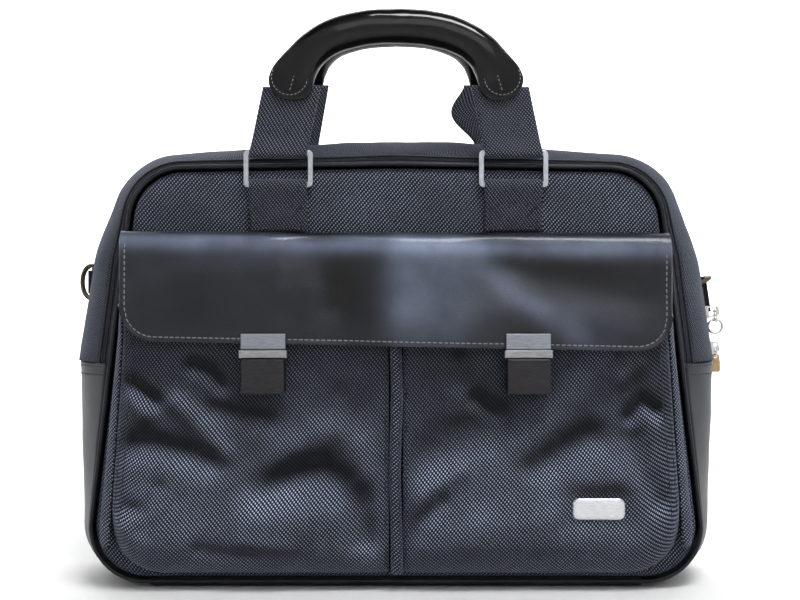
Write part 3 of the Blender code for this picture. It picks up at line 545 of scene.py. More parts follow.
def hide(
    name, dark, light, roughness=0.42, grain=1000.0, bump=0.00016, coat=0.15, wax=0.28, shine=0.35
):
    """Finished cowhide: fine pebbles and pores, and a soft uneven gloss."""
    made, tree, shader = shader_nodes(name, roughness)
    shader.inputs["Coat Weight"].default_value = coat
    shader.inputs["Coat Roughness"].default_value = wax
    shader.inputs["Specular IOR Level"].default_value = shine
    place = add(tree, "TexCoord")
    pebbles = add(tree, "TexVoronoi", [("Vector", place, "UV")], Scale=grain, Randomness=1.0)
    pores = add(tree, "TexNoise", [("Vector", place, "UV")], Scale=grain * 0.7, Detail=4.0)
    broad = add(tree, "TexNoise", [("Vector", place, "UV")], Scale=22.0, Detail=7.0)
    height = add(tree, "Math", [(0, pebbles, "Distance"), (1, pores, "Fac")], operation="ADD")
    shade = shades(tree, broad, "Fac", ((0.30, dark), (0.72, light)))
    # painted light and shade: the hide's colour is scaled by the light and shade painted on the mesh
    gloss_and_painted_light = one_and_painted_light(tree)
    tone_with_painted_light = add(tree, "VectorMath", [(0, shade, "Color"), (1, gloss_and_painted_light, 0)], operation="MULTIPLY")
    tree.links.new(shader.inputs["Base Color"], tone_with_painted_light.outputs["Vector"])
    gloss = remapped(tree, broad, (0.3, 0.7), (roughness - 0.03, roughness + 0.06))
    tree.links.new(shader.inputs["Roughness"], gloss.outputs["Result"])
    relief = add(tree, "Bump", [("Height", height, 0)], Strength=0.45, Distance=bump)
    tree.links.new(shader.inputs["Normal"], relief.outputs["Normal"])
    return made


LEATHER = hide("black cowhide", (0.010, 0.012, 0.016), (0.022, 0.026, 0.034))


def thread_finish(name, dark, light):
    """Bonded polyester thread: a tight twist with a slight shine."""
    made, tree, shader = shader_nodes(name, 0.5)
    place = add(tree, "TexCoord")
    twist = add(tree, "TexWave", [("Vector", place, "Object")], Scale=420.0, Distortion=1.0)
    shade = shades(tree, twist, "Fac", ((0.2, dark), (0.8, light)))
    tree.links.new(shader.inputs["Base Color"], shade.outputs["Color"])
    bump = add(tree, "Bump", [("Height", twist, "Fac")], Strength=0.5, Distance=0.00008)
    tree.links.new(shader.inputs["Normal"], bump.outputs["Normal"])
    return made


THREAD = thread_finish("black thread", (0.008, 0.009, 0.012), (0.045, 0.050, 0.064))
# painted highlight: this thread is pale grey, standing in for the glints on the dark thread of the
# flap's edge and the grips
PAINTED_GLINT_THREAD = thread_finish("grey thread", (0.110, 0.120, 0.140), (0.340, 0.360, 0.400))
STITCH = (0.0026, 0.00075)  # length and width of one stitch
STITCH_PITCH = 0.0036


def on_grid(grid, line):
    """Points of a surface at fractional rows and columns, with the surface's outward normals."""
    normals = face_normals(grid)
    spots, ups = [], []
    for row, column in line:
        i = min(int(row), grid.shape[0] - 2)
        j = min(int(column), grid.shape[1] - 2)
        a, b = row - i, column - j
        for source, out in ((grid, spots), (normals, ups)):
            low = source[i, j] * (1 - b) + source[i, j + 1] * b
            high = source[i + 1, j] * (1 - b) + source[i + 1, j + 1] * b
            out.append(low * (1 - a) + high * a)
    return np.array(spots), np.array(ups)


def sewn(grid, line, lift=0.00015, pitch=STITCH_PITCH, size=STITCH):
    """One row of stitches along a line on a surface."""
    path, outs = on_grid(grid, line)
    path = path + outs * lift
    middles, ways, spots = along(path, pitch)
    return middles, ways, ups_for(path, outs, spots), size[0], size[1]


def stitch(name, rows, finish=None, body="bag"):
    """Rows of stitches as one piece on a body."""
    made = capsules(name, rows, finish or THREAD)
    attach(made, body)
    return made


def straight(row_from, column_from, row_to, column_to, count=60):
    """A straight line over a grid, as fractional rows and columns."""
    return [
        (row_from + (row_to - row_from) * t, column_from + (column_to - column_from) * t)
        for t in np.linspace(0, 1, count)
    ]


PULL_SEAT = (MAIN_ZIP_Y, 0.142, 0.011, 0.016)  # y, z, half width and half height of the dent
PULL_DENT = 0.0014
for side, first, last in (("right", 0, PATCH), ("left", FOOT - PATCH, FOOT)):
    grid = strip(first, last, FRONT_Y + 0.0002, BACK_Y - 0.0002, 22, 0.0008, 5, 0.0007)
    # the lower zip's pull tab rests in a shallow dent
    y, z, wide, high = PULL_SEAT
    pressed = np.exp(-(((grid[..., 2] - z) / high) ** 2) - ((grid[..., 1] - y) / wide) ** 2)
    grid = puffed(grid, -PULL_DENT * pressed)
    patch = skin(f"side_patch_{side}_hide", grid, LEATHER, WALL * 0.8)
    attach(patch, "bag")
    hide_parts(f"side_patch_{side}")
    top = grid.shape[1] - 1 if side == "right" else 0
    down = -1 if side == "right" else 1
    rows = [
        sewn(grid, straight(0.3, top + down * 0.7, 20.7, top + down * 0.7)),
        sewn(grid, straight(0.3, top + down * 2.1, 20.7, top + down * 2.1)),
    ]
    stitch(f"side_patch_{side}_stitches", rows)

grid = strip(FOOT, COUNT, FRONT_Y + 0.0002, BACK_Y - 0.0002, 18, 0.0004)
bottom = skin("bottom_cloth", grid, NYLON, WALL * 0.7, facing=(0, 0.012, 0.4))
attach(bottom, "bag")
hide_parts("bottom_gusset")

BASE = (0.167, -0.0250, 0.0470, 0.006)  # half length, y from, y to, corner radius


def lofted(bm, rings):
    """Faces between closed rings of points, with the first and the last ring closed."""
    for one, two in zip(rings, rings[1:]):
        for a, b, c, d in zip(one, one[1:] + one[:1], two[1:] + two[:1], two):
            bm.faces.new((a, b, c, d))
    bm.faces.new(list(reversed(rings[0])))
    bm.faces.new(rings[-1])
    bmesh.ops.recalc_face_normals(bm, faces=bm.faces)


def base_slab():
    """A stiff slab with rounded edges."""
    half, y_from, y_to, corner = BASE
    bm = bmesh.new()
    corners = [(-half, y_from), (half, y_from), (half, y_to), (-half, y_to)]
    outline = rounded([(x, y, corner) for x, y in corners], (6, 6, 6, 6))
    profile = ((0.0000, 0.0008), (0.0, 0.0022), (0.0008, 0.0030), (0.0060, 0.0030))
    rings = [[bm.verts.new((*p, 0.0)) for p in drawn_in(outline, 0.0008)]]
    for inset, height in profile:
        rings.append([bm.verts.new((*p, height)) for p in drawn_in(outline, inset)])
    lofted(bm, rings)
    cloth = bm.loops.layers.uv.new("threads")
    for face in bm.faces:
        for loop in face.loops:
            loop[cloth].uv = (loop.vert.co.x + 0.3, loop.vert.co.y + loop.vert.co.z + 0.1)
    return finished("base_slab", bm, LEATHER)


slab = base_slab()
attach(slab, "bag")
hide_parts("base_panel")

# ---------------------------------------------------------------- piping
# Leather-covered cords are caught in the seams: one round the front face, one beside the gusset's
# front edge and one round the back. Their hide is thin, with a finer grain than the patches.

PIPING = hide("piping hide", (0.007, 0.008, 0.011), (0.020, 0.023, 0.030), 0.38, 1400.0)


def swept(path, radius, sides=10, closed=True):
    """A round section carried along a line: rows follow the line, columns go round it."""
    path = np.asarray(path, float)
    if closed:
        way = np.roll(path, -1, 0) - np.roll(path, 1, 0)
    else:
        way = np.gradient(path, axis=0)
    way = way / np.linalg.norm(way, axis=1)[:, None]
    side = np.cross(way, np.array((0.0, 1.0, 0.001)))
    side = side / np.linalg.norm(side, axis=1)[:, None]
    rise = np.cross(side, way)
    angles = np.linspace(0, 2 * math.pi, sides + 1)
    return np.stack(
        [path + (side * math.cos(a) + rise * math.sin(a)) * radius for a in angles], 1
    )


def outward_skin(name, grid, finish, wrap=False, **kind):
    """A closed round piece: its faces look away from its own middle line."""
    middle = grid[:, :-1].mean(1)
    normal = np.cross(np.gradient(grid, axis=0), np.gradient(grid, axis=1))
    if np.sum(normal * (grid - middle[:, None])) < 0:
        grid = grid[:, ::-1]
    rows, columns = grid.shape[:2]
    bm = bmesh.new()
    points = [[bm.verts.new(p) for p in row[:-1]] for row in grid]
    cloth = bm.loops.layers.uv.new("threads")
    down = np.concatenate(([0], np.cumsum(np.linalg.norm(np.diff(middle, axis=0), axis=1))))
    down = np.append(down, down[-1] + np.linalg.norm(middle[0] - middle[-1]))
    round_step = np.linalg.norm(np.diff(grid, axis=1), axis=2).mean()
    for i in range(rows if wrap else rows - 1):
        for j in range(columns - 1):
            k = (j + 1) % (columns - 1)
            below = points[(i + 1) % rows]
            face = bm.faces.new((points[i][j], below[j], below[k], points[i][k]))
            spots = ((j, i), (j, i + 1), (j + 1, i + 1), (j + 1, i))
            for loop, (a, b) in zip(face.loops, spots):
                loop[cloth].uv = (a * round_step, down[b])
            face.smooth = True
    if not wrap:
        bm.faces.new(points[0])
        bm.faces.new(list(reversed(points[-1])))
    return finished(name, bm, finish, **kind)


def piping(name, y, inset, radius, first=0, last=COUNT - 1, node=None):
    """A covered cord along the body's outline at a depth."""
    outline = drawn_in(section(min(max(y, FRONT_Y), BACK_Y)), inset)
    around = np.arange(first, last + 1) % COUNT
    line = np.stack((outline[around, 0], np.full(len(around), y), outline[around, 1]), 1)
    closed = last - first >= COUNT - 1
    made = outward_skin(name, swept(line, radius, 10, closed), PIPING, closed)
    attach(made, "bag")
    if node:
        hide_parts(node)


piping("front_piping_hide", FRONT_Y - 0.0006, 0.0012, 0.0015, node="front_piping")
piping("gusset_piping", -0.0228, -0.0004, 0.0010, *ARCH)
piping("rear_piping", BACK_Y + 0.0002, 0.0010, 0.0018)

# ---------------------------------------------------------------- inside
# A lined divider and a padded laptop wall stand inside, on a plastic stiffener. They are seen
# only through an open pocket or zip, and stay as the frame has them.



def refinish(node, finish):
    """A better material on one of the frame's own solids."""
    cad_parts[node].data.materials.clear()
    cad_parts[node].data.materials.append(finish)


LINING = woven("grey lining", (0.030, 0.032, 0.036), (0.110, 0.115, 0.125), 0.0007, 45, 0.9, 0.0001)
BOARD = coil_finish("stiffener board", (0.035, 0.035, 0.036))
refinish("compartment_divider", LINING)
refinish("laptop_pad", LINING)
refinish("base_board", BOARD)

# ---------------------------------------------------------------- front pockets
# Two flat pockets of the nylon are sewn side by side on the front, meeting at a raised ridge with
# a stitch row each side. They are gathered at the foot, and their outer edges fold like bellows.

POCKET_Y = -0.0500
POCKET_TOP = 0.225
POCKET_INNER = 0.0046
POCKET_OUTER = 0.178
POCKET_FLARE = 0.008
POCKET_FOOT = 0.0110
POCKET_CORNER = 0.036
POCKET_SHADE = 0.24  # painted shade: the cloth is painted darker in the upper part and paler low down, where it faces up to the light
POCKET_ROLL = (0.026, 0.0155)  # height over which the foot rolls in, and how far
RIDGE_SLOPE = (0.012, 0.0045)  # width of the slope beside the middle ridge, and its depth
SIDE_SLOPE = (0.008, 0.0030)
LOCK_X = 0.0853
# places that stay flat: (x, z, half width, half height)
LOCK_SEAT = (LOCK_X, 0.146, 0.022, 0.018)
BADGE_SEAT = (0.132, 0.056, 0.024, 0.015)
# Folds of the cloth in millimetres: (width, depth, the line that it follows in x and z);
# a positive depth stands out, a negative one is pressed in.
FOLDS = (
    (13, -8.0, ((-83, 72), (-64, 76), (-47, 77), (-34, 71), (-25, 57), (-19, 37))),
    (10, 3.5, ((-86, 78), (-71, 91), (-54, 103), (-38, 107), (-28, 96), (-21, 78))),
    (15, 3.5, ((-96, 48), (-70, 46), (-45, 52))),
    (5, -4.0, ((-132, 148), (-122, 144), (-115, 136))),
    (5, -5.0, ((-180, 139), (-170, 134), (-158, 125))),
    (9, -6.0, ((-176, 96), (-160, 97), (-141, 92), (-121, 86))),
    (7, 3.5, ((-143, 124), (-127, 109), (-112, 92))),
    (6, 2.5, ((-172, 126), (-164, 118))),
    (7, -3.2, ((-119, 120), (-101, 115), (-83, 113))),
    (5, -3.0, ((-175, 57), (-171, 56))),
    (5, 1.8, ((-184, 48), (-172, 44), (-160, 52), (-158, 66))),
    (5, -2.4, ((-155, 70), (-167, 44))),
    (5, -2.6, ((-129, 29), (-110, 26), (-96, 24))),
    (6, 2.0, ((-100, 34), (-70, 31))),
    (15, -5.0, ((9, 89), (34, 101), (61, 108))),
    (8, 3.6, ((6, 57), (20, 69), (40, 80))),
    (6, -3.2, ((4, 32), (15, 47), (30, 60))),
    (10, -5.0, ((90, 83), (110, 95), (128, 102))),
    (12, 2.8, ((131, 146), (110, 118), (89, 94))),
    (5, -5.5, ((153, 115), (161, 125), (170, 119))),
    (9, -4.0, ((155, 101), (161, 78), (172, 62))),
    (6, -3.4, ((52, 127), (65, 118))),
    (7, -2.6, ((42, 152), (44, 138))),
    (16, 2.6, ((50, 44), (95, 52), (140, 70))),
    (6, 2.0, ((148, 140), (158, 150))),
)


def folded(x, z, folds):
    """How far a set of soft folds lifts or sinks the cloth at each point."""
    total = np.zeros_like(x)
    for width, depth, line in folds:
        line = np.array(line) / 1000.0
        nearest = np.full(x.shape, 9.0)
        for (ax, az), (bx, bz) in zip(line, line[1:]):
            length = (bx - ax) ** 2 + (bz - az) ** 2
            t = np.clip(((x - ax) * (bx - ax) + (z - az) * (bz - az)) / length, 0, 1)
            away = np.hypot(x - ax - t * (bx - ax), z - az - t * (bz - az))
            nearest = np.minimum(nearest, away)
        total = total + depth / 1000.0 * np.exp(-((nearest * 1000.0 / width) ** 2))
    return total


def pocket_foot(x):
    """Height of a pocket's lower edge, which turns up in a round corner."""
    start = POCKET_OUTER + POCKET_FLARE - POCKET_CORNER
    beyond = np.clip(x - start, 0, POCKET_CORNER * 0.9995)
    return POCKET_FOOT + POCKET_CORNER - np.sqrt(POCKET_CORNER**2 - beyond**2)


def pocket_outer(z):
    """Distance of a pocket's outer edge from the middle; it flares towards the foot."""
    return POCKET_OUTER + POCKET_FLARE * np.clip(0.166 - z, 0, None) / 0.120


def seat(x, z, place, power):
    """1 at the middle of a place that stays flat, falling to 0 round it."""
    mid_x, mid_z, wide, high = place
    return np.exp(-(((x - mid_x) / wide) ** power) - ((z - mid_z) / high) ** power)


def pocket_grid(sign):
    """The points of a pocket's front, and the light and shade painted on the cloth at each; sign is
    its side.
    """
    across = (1 - np.cos(np.linspace(0, math.pi, 75))) / 2 * 0.6 + np.linspace(0, 1, 75) * 0.4
    up = np.linspace(0, 1, 90) ** 1.1
    across, up = np.meshgrid(across, up)
    x = POCKET_INNER + across * (POCKET_OUTER + POCKET_FLARE - 0.001 - POCKET_INNER)
    foot = pocket_foot(x)
    z = foot + up * (POCKET_TOP - foot)
    x = POCKET_INNER + across * (pocket_outer(z) - POCKET_INNER)
    rise = np.clip((z - foot) / POCKET_ROLL[0], 0, 1)
    near_ridge = np.clip(1 - (x - POCKET_INNER) / RIDGE_SLOPE[0], 0, 1)
    near_side = np.clip(1 - (pocket_outer(z) - x) / SIDE_SLOPE[0], 0, 1)
    y = POCKET_Y + POCKET_ROLL[1] * (1 - np.sqrt(np.clip(1 - (1 - rise) ** 2, 0, 1)))
    y = y + RIDGE_SLOPE[1] * near_ridge**2 + SIDE_SLOPE[1] * near_side**2
    # folds fade out towards the seams, under the flap, and at the lock and the badge
    free = np.clip((z - foot) / 0.02, 0, 1) * np.clip((x - POCKET_INNER) / 0.012, 0, 1)
    free = free * np.clip((pocket_outer(z) - x) / 0.010, 0.15, 1)
    free = free * np.clip((0.222 - z) / 0.05, 0, 1)
    held = 1 - seat(x, z, LOCK_SEAT, 2)
    if sign > 0:
        held = held * (1 - seat(x, z, BADGE_SEAT, 4))
    points = np.stack((sign * x, y, z), 2)
    belly = 0.0035 * np.exp(-(((z - 0.050) / 0.040) ** 2))
    waist = 0.0015 * np.exp(-(((z - 0.125) / 0.030) ** 2))
    out = folded(sign * x, z, FOLDS) + ripple(points, 0.050, 6 + sign) * 0.0016 + (belly - waist)
    gathers = np.sin(x * 700 + 3 * ripple(points, 0.03, 9)) * 0.0004
    out = out + gathers * np.clip(1 - (z - foot) / 0.030, 0, 1)
    out = out * free * held
    points[..., 1] -= out
    # painted light and shade from the folds' slopes, with painted shade on the upper part and
    # painted light at the foot
    shade = POCKET_SHADE * np.clip((z - 0.068) / 0.045, -0.5, 1.5)
    return points, np.clip(painted_fold_light(points, out) - shade, -0.9, 0.9)


HEM = woven("hem binding", (0.005, 0.006, 0.008), (0.045, 0.050, 0.068), 0.0010, 90, 0.7, 0.0002)
for side, sign in (("left", -1), ("right", 1)):
    grid, painted_light_map = pocket_grid(sign)
    pocket = skin(f"{side}_pocket_cloth", grid, NYLON, 0.0016, facing=(0, 0.3, 0.12), painted_light=painted_light_map)
    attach(pocket, "bag")
    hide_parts(f"{side}_pocket_front")
    last_row, last_column = grid.shape[0] - 1, grid.shape[1] - 1
    rows = [
        sewn(grid, straight(4, 2.2, last_row - 2, 2.2, 90)),
        sewn(grid, straight(12, last_column - 2.2, last_row - 2, last_column - 2.2, 90)),
        sewn(grid, straight(12, last_column - 5.2, last_row - 2, last_column - 5.2, 90)),
    ]
    stitch(f"{side}_pocket_stitches", rows)
    hem = swept(grid[-1] + np.array((0, 0.0008, 0)), 0.0011, 8, closed=False)
    made = outward_skin(f"{side}_pocket_hem", hem, HEM)
    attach(made, "bag")

    # the bellows between the pocket's outer edge and the front panel
    up = np.linspace(0.030, POCKET_TOP, 50)
    frame_edge = drawn_in(section(FRONT_Y), 0.0075)
    right_side = frame_edge[: FOOT // 2]
    wall_x = np.interp(up, right_side[:, 1], right_side[:, 0])
    front = np.stack((sign * (pocket_outer(up) + 0.0014), np.full(50, POCKET_Y + 0.0036), up), 1)
    back = np.stack((sign * wall_x, np.full(50, FRONT_Y - 0.0016), up), 1)
    shares = np.linspace(0, 1, 9)[:, None, None]
    bellows = front + (back - front) * shares
    fold = np.sin(shares[..., 0] * math.pi) * 0.0026
    bellows[..., 0] += sign * fold
    bellows[..., 1] -= fold * 0.4
    made = skin(f"{side}_pocket_bellows", bellows, NYLON, 0.0010)
    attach(made, "bag")
    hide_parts(f"{side}_pocket_gusset")

RIDGE_RADIUS = 0.0040
heights = np.linspace(0.0125, POCKET_TOP - 0.001, 90)
angles = np.linspace(0, math.pi, 9)
ridge = []
for angle in angles:
    wander = 0.0006 * np.sin(heights * 60)
    x = math.cos(angle) * RIDGE_RADIUS + wander
    y = POCKET_Y + RIDGE_SLOPE[1] - math.sin(angle) * RIDGE_RADIUS
    y = y + 0.0080 * np.clip(1 - heights / 0.03, 0, 1) ** 2
    ridge.append(np.stack((x, y, heights), 1))
ridge = np.array(ridge)
made = skin("pocket_ridge_cloth", ridge, NYLON, 0.0010, facing=(0, 0.3, 0.12))
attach(made, "bag")
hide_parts("pocket_ridge")
rows = [sewn(ridge, straight(r, 2, r, 87, 90), 0.0001) for r in (2.4, 5.6)]
stitch("pocket_ridge_stitches", rows)

# ---------------------------------------------------------------- badge
# A small plain metal badge with rounded corners is pinned on the right-hand pocket. It carries
# no mark; its face is finely brushed and its rim is chamfered.


def brushed(name, dark, light, roughness, stretch=(40.0, 900.0, 900.0)):
    """Metal drawn over a belt: fine scratches all one way, darker in the low spots."""
    made, tree, shader = shader_nodes(name, roughness, 1.0)
    place = add(tree, "TexCoord")
    drawn = add(tree, "Mapping", [("Vector", place, "Object")], Scale=stretch)
    lines = add(tree, "TexNoise", [("Vector", drawn, "Vector")], Scale=6.0, Detail=4.0)
    spots = add(tree, "TexNoise", [("Vector", place, "Object")], Scale=160.0, Detail=3.0)
    shade = shades(tree, lines, "Fac", ((0.30, dark), (0.70, light)))
    tree.links.new(shader.inputs["Base Color"], shade.outputs["Color"])
    gloss_and_painted_light = remapped(tree, spots, (0.0, 1.0), (roughness - 0.06, roughness + 0.14))
    tree.links.new(shader.inputs["Roughness"], gloss_and_painted_light.outputs["Result"])
    relief = add(tree, "Bump", [("Height", lines, "Fac")], Strength=0.25, Distance=0.00006)
    tree.links.new(shader.inputs["Normal"], relief.outputs["Normal"])
    return made


BADGE_METAL = brushed("badge metal", (0.55, 0.56, 0.58), (0.80, 0.81, 0.83), 0.30)
low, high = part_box("badge")
BADGE_CORNER = 0.004
corners = [(low.x, low.z), (high.x, low.z), (high.x, high.z), (low.x, high.z)]
outline = rounded([(x, z, BADGE_CORNER) for x, z in corners], (6, 6, 6, 6))
bm = bmesh.new()
rings = []
# (inset, depth) of each ring from the cloth to the face: a wall, a chamfer and a slight dome
back_ring, rim = (0.0, high.y + 0.0016), (0.0, low.y + 0.0005)
for inset, depth in (back_ring, rim, (0.0005, low.y), (0.0022, low.y - 0.0003)):
    rings.append([bm.verts.new((x, depth, z)) for x, z in drawn_in(outline, inset)])
lofted(bm, rings)
badge = finished("badge_plate", bm, BADGE_METAL)
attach(badge, "bag")
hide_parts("badge")

# ---------------------------------------------------------------- flap
# One piece of soft cowhide is sewn along the front panel, folds over the pockets' mouth and hangs
# to its two locks. Its edge is turned and stitched, and the hide has taken broad soft folds.

FLAP_HALF = 0.178
FLAP_SEAM_Y = -0.0313
FLAP_FACE_Y = -0.0565
FLAP_TOP = 0.236
FLAP_BOTTOM = 0.162
FLAP_CORNER = 0.022
FLAP_BEND = 0.0080
FLAP_THICK = 0.0026
FLAP_SAG = -0.020  # it hangs a little lower on the right
FLAP_HEM = 0.0030  # the stitch row's distance from the edge
# Broad folds of the hide, as the pockets' folds are given
FLAP_FOLDS = (
    (15, -1.9, ((-61, 240), (-57, 226), (-48, 208), (-40, 190))),
    (22, -2.6, ((-46, 222), (-34, 190), (-26, 160))),
    (12, 2.2, ((-75, 222), (-72, 200))),
    (24, 3.4, ((0, 180), (34, 178), (76, 174))),
    (16, 2.0, ((4, 224), (28, 216))),
    (12, -3.2, ((53, 240), (58, 228), (72, 216))),
    (24, -2.6, ((84, 212), (120, 206), (150, 200))),
    (18, 1.8, ((108, 178), (150, 176))),
    (30, 1.6, ((-150, 196), (-110, 190))),
)
FLAP_HIDE = hide(
    "flap cowhide",
    (0.0095, 0.0110, 0.0155),
    (0.022, 0.026, 0.035),
    roughness=0.31,
    grain=900.0,
    bump=0.00026,
    coat=0.40,
)

half = np.linspace(0, 1, 46)
half = half * 0.55 + (1 - (1 - half) ** 2) * 0.45
across = np.concatenate((-half[:0:-1], half)) * FLAP_HALF
turn = np.linspace(0, math.pi / 2, 10)
bend_y = FLAP_FACE_Y + FLAP_BEND - np.sin(turn) * FLAP_BEND
bend_z = FLAP_TOP - FLAP_BEND + np.cos(turn) * FLAP_BEND
flat_y = np.linspace(FLAP_SEAM_Y, FLAP_FACE_Y + FLAP_BEND, 10)[:-1]
face = np.linspace(0, 1, 46)[1:]
columns = []
for x in across:
    beyond = max(0.0, abs(x) - (FLAP_HALF - FLAP_CORNER))
    foot = FLAP_BOTTOM + FLAP_CORNER - math.sqrt(max(0.0, FLAP_CORNER**2 - beyond**2))
    hang_z = FLAP_TOP - FLAP_BEND + (foot - FLAP_TOP + FLAP_BEND) * face
    ys = np.concatenate((flat_y, bend_y, np.full(len(face), FLAP_FACE_Y)))
    zs = np.concatenate((np.full(len(flat_y), FLAP_TOP), bend_z, hang_z))
    columns.append(np.stack((np.full(len(ys), x), ys, zs), 1))
flap_grid = np.stack(columns, 1)
face_row = len(flat_y) + len(bend_y) - 1  # the row where the bend ends and the face begins
row_numbers = np.arange(flap_grid.shape[0])
loose = np.clip((row_numbers - (len(flat_y) - 1)) / len(bend_y), 0, 1)[:, None]
locks = 1 - sum(
    np.exp(-(((flap_grid[..., 0] - x) / 0.018) ** 2) - ((flap_grid[..., 2] - 0.163) / 0.018) ** 2)
    for x in (-LOCK_X, LOCK_X)
)
lift = folded(flap_grid[..., 0], flap_grid[..., 2], FLAP_FOLDS)
lift = lift + ripple(flap_grid, 0.060, 12) * 0.0009 + 0.0006
# distances over the hide: to the nearest free edge, and from the seam at the top
steps_down = np.linalg.norm(np.diff(flap_grid, axis=0), axis=2)
to_foot = steps_down[::-1].cumsum(0)[::-1][np.minimum(row_numbers, flap_grid.shape[0] - 2)]
to_edge = np.minimum(FLAP_HALF - np.abs(flap_grid[..., 0]), to_foot)
from_seam = np.linalg.norm(np.diff(flap_grid, axis=0, prepend=flap_grid[:1]), axis=2).cumsum(0)
groove = -0.0005 * np.exp(-(((to_edge - FLAP_HEM) / 0.0009) ** 2))
turned_edge = 0.0007 * np.exp(-((to_edge / 0.0022) ** 2))
flap_grid = puffed(flap_grid, lift * loose * locks + (groove + turned_edge) * loose)
flap_grid[..., 2] += flap_grid[..., 0] * FLAP_SAG * loose
# painted light and shade from the slopes of the flap's folds
painted_light_map = painted_fold_light(flap_grid, lift * loose * locks, 2.4)
# painted highlight: the bend, 30 mm from the seam, is painted paler
painted_light_map = painted_light_map + 7.0 * np.exp(-(((from_seam - 0.025 - 0.005) / 0.006) ** 2))
# painted highlights and painted shade on the hide: (x, z, half width, half height, tilt, gain); a
# negative gain paints shade
PAINTED_LIGHT_PATCHES = (
    (0.014, 0.202, 0.036, 0.040, 0.0, 5.6),
    (0.080, 0.194, 0.046, 0.010, -0.63, 4.2),
    (0.125, 0.180, 0.030, 0.014, 0.0, 1.2),
    (-0.100, 0.222, 0.060, 0.010, 0.0, 1.0),
    (-0.036, 0.196, 0.020, 0.036, 0.0, -0.7),
    (0.110, 0.212, 0.040, 0.012, -0.1, -0.6),
    (-0.120, 0.190, 0.050, 0.016, 0.0, -0.25),
)
for x, z, wide, high, tilt, gain in PAINTED_LIGHT_PATCHES:
    across_it = flap_grid[..., 0] - x
    up_it = flap_grid[..., 2] - z - tilt * across_it
    across_it = np.where(across_it < 0, across_it * 1.7, across_it)
    painted_light_map = painted_light_map + gain * np.exp(-np.abs(across_it / wide) ** 4 - (up_it / high) ** 2) * loose
painted_light_map = np.maximum(painted_light_map, -0.85)
flap = skin("flap_hide", flap_grid, FLAP_HIDE, FLAP_THICK, edge=0.0007, painted_light=painted_light_map)
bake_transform(flap)
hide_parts("flap", "flap_root")

edge_line = []
bottom_row = flap_grid.shape[0] - 1
for x in np.linspace(-FLAP_HALF + FLAP_HEM, FLAP_HALF - FLAP_HEM, 200):
    column = float(np.interp(x, across, np.arange(len(across))))
    beyond = max(0.0, abs(x) - (FLAP_HALF - FLAP_CORNER))
    reach = FLAP_CORNER - FLAP_HEM
    foot = FLAP_BOTTOM + FLAP_CORNER - math.sqrt(max(0.0, reach**2 - beyond**2))
    own_foot = FLAP_BOTTOM + FLAP_CORNER - math.sqrt(max(0.0, FLAP_CORNER**2 - beyond**2))
    share = (FLAP_TOP - FLAP_BEND - foot) / (FLAP_TOP - FLAP_BEND - own_foot)
    edge_line.append((face_row + share * (bottom_row - face_row), column))
left_column = float(np.interp(-FLAP_HALF + FLAP_HEM, across, np.arange(len(across))))
right_column = len(across) - 1 - left_column
first_row = edge_line[0][0]
EDGE_STITCH = (0.0028, 0.0009)
rows = [
    sewn(flap_grid, line, 0.0003, STITCH_PITCH, EDGE_STITCH)
    for line in (
        edge_line,
        straight(face_row + 2, left_column, first_row - 0.3, left_column),
        straight(face_row + 2, right_column, first_row - 0.3, right_column),
    )
]
stitch("flap_stitches", rows, PAINTED_GLINT_THREAD, "flap")
rows = [sewn(flap_grid, straight(r, 3, r, len(across) - 4, 120), 0.0001) for r in (0.8, 2.2)]
stitch("flap_root_stitches", rows)

# ---------------------------------------------------------------- locks
# Each lock is a die-cast slide on a base screwed to the pocket, in dark gunmetal, under a lighter
# satin strike plate on the flap. All faces are brushed sideways, and a coil lifts the slide.

SATIN = brushed("satin strike metal", (0.23, 0.245, 0.275), (0.38, 0.395, 0.43), 0.38)
STRIP_METAL = brushed("bright strike strip", (0.25, 0.25, 0.26), (0.48, 0.48, 0.49), 0.28)
GUNMETAL = brushed("gunmetal", (0.045, 0.043, 0.048), (0.085, 0.082, 0.088), 0.34)
STEEL = brushed("spring steel", (0.35, 0.35, 0.36), (0.58, 0.58, 0.60), 0.28)


for side in ("left", "right"):
    refinish(f"{side}_strike_plate", SATIN)
    refinish(f"{side}_strike_tongue", STRIP_METAL)
    refinish(f"{side}_flap_back_plate", STEEL)
    refinish(f"{side}_lock_base", GUNMETAL)
    refinish(f"{side}_lock_slide", GUNMETAL)
    refinish(f"{side}_lock_washer", STEEL)
    bm = bmesh.new()
    bm.from_mesh(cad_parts[f"{side}_lock_spring"].data)
    for face in bm.faces:
        face.smooth = True
    coil = finished(f"{side}_lock_coil", bm, STEEL)
    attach(coil, "bag")
    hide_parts(f"{side}_lock_spring")
    middle = (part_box(f"{side}_lock_spring")[0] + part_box(f"{side}_lock_spring")[1]) / 2
    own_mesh(coil)

# ---------------------------------------------------------------- rings for the handles
# Four flat-sided rectangular rings of nickel-plated steel link the handles to the bag. The flats
# are brushed and the edges are chamfered.

NICKEL = brushed(
    "brushed nickel", (0.34, 0.36, 0.39), (0.56, 0.58, 0.62), 0.32, (900.0, 900.0, 60.0)
)


def crisp(node, name, finish, bevel, body):
    """The frame's own shape with its edges chamfered."""
    bm = bmesh.new()
    bm.from_mesh(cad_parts[node].data)
    bmesh.ops.remove_doubles(bm, verts=bm.verts, dist=0.00001)
    bmesh.ops.dissolve_limit(bm, angle_limit=math.radians(2), verts=bm.verts, edges=bm.edges)
    made = finished(name, bm, finish, 0.0, bevel)
    made.modifiers["soft edges"].angle_limit = math.radians(60)
    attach(made, body)
    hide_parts(node)
    return made


for which in ("front", "rear"):
    for side in ("left", "right"):
        ring = f"{which}_{side}_ring"
        crisp(ring, ring + "_bar", NICKEL, 0.0005, f"{which}_rings")

# ---------------------------------------------------------------- webbing tabs and handle legs
# Nylon webbing, 38 mm wide and woven in a close slanting twill, loops through the rings: the tabs
# are sewn to the bag with a boxed V, and the legs run doubled up into the grips.

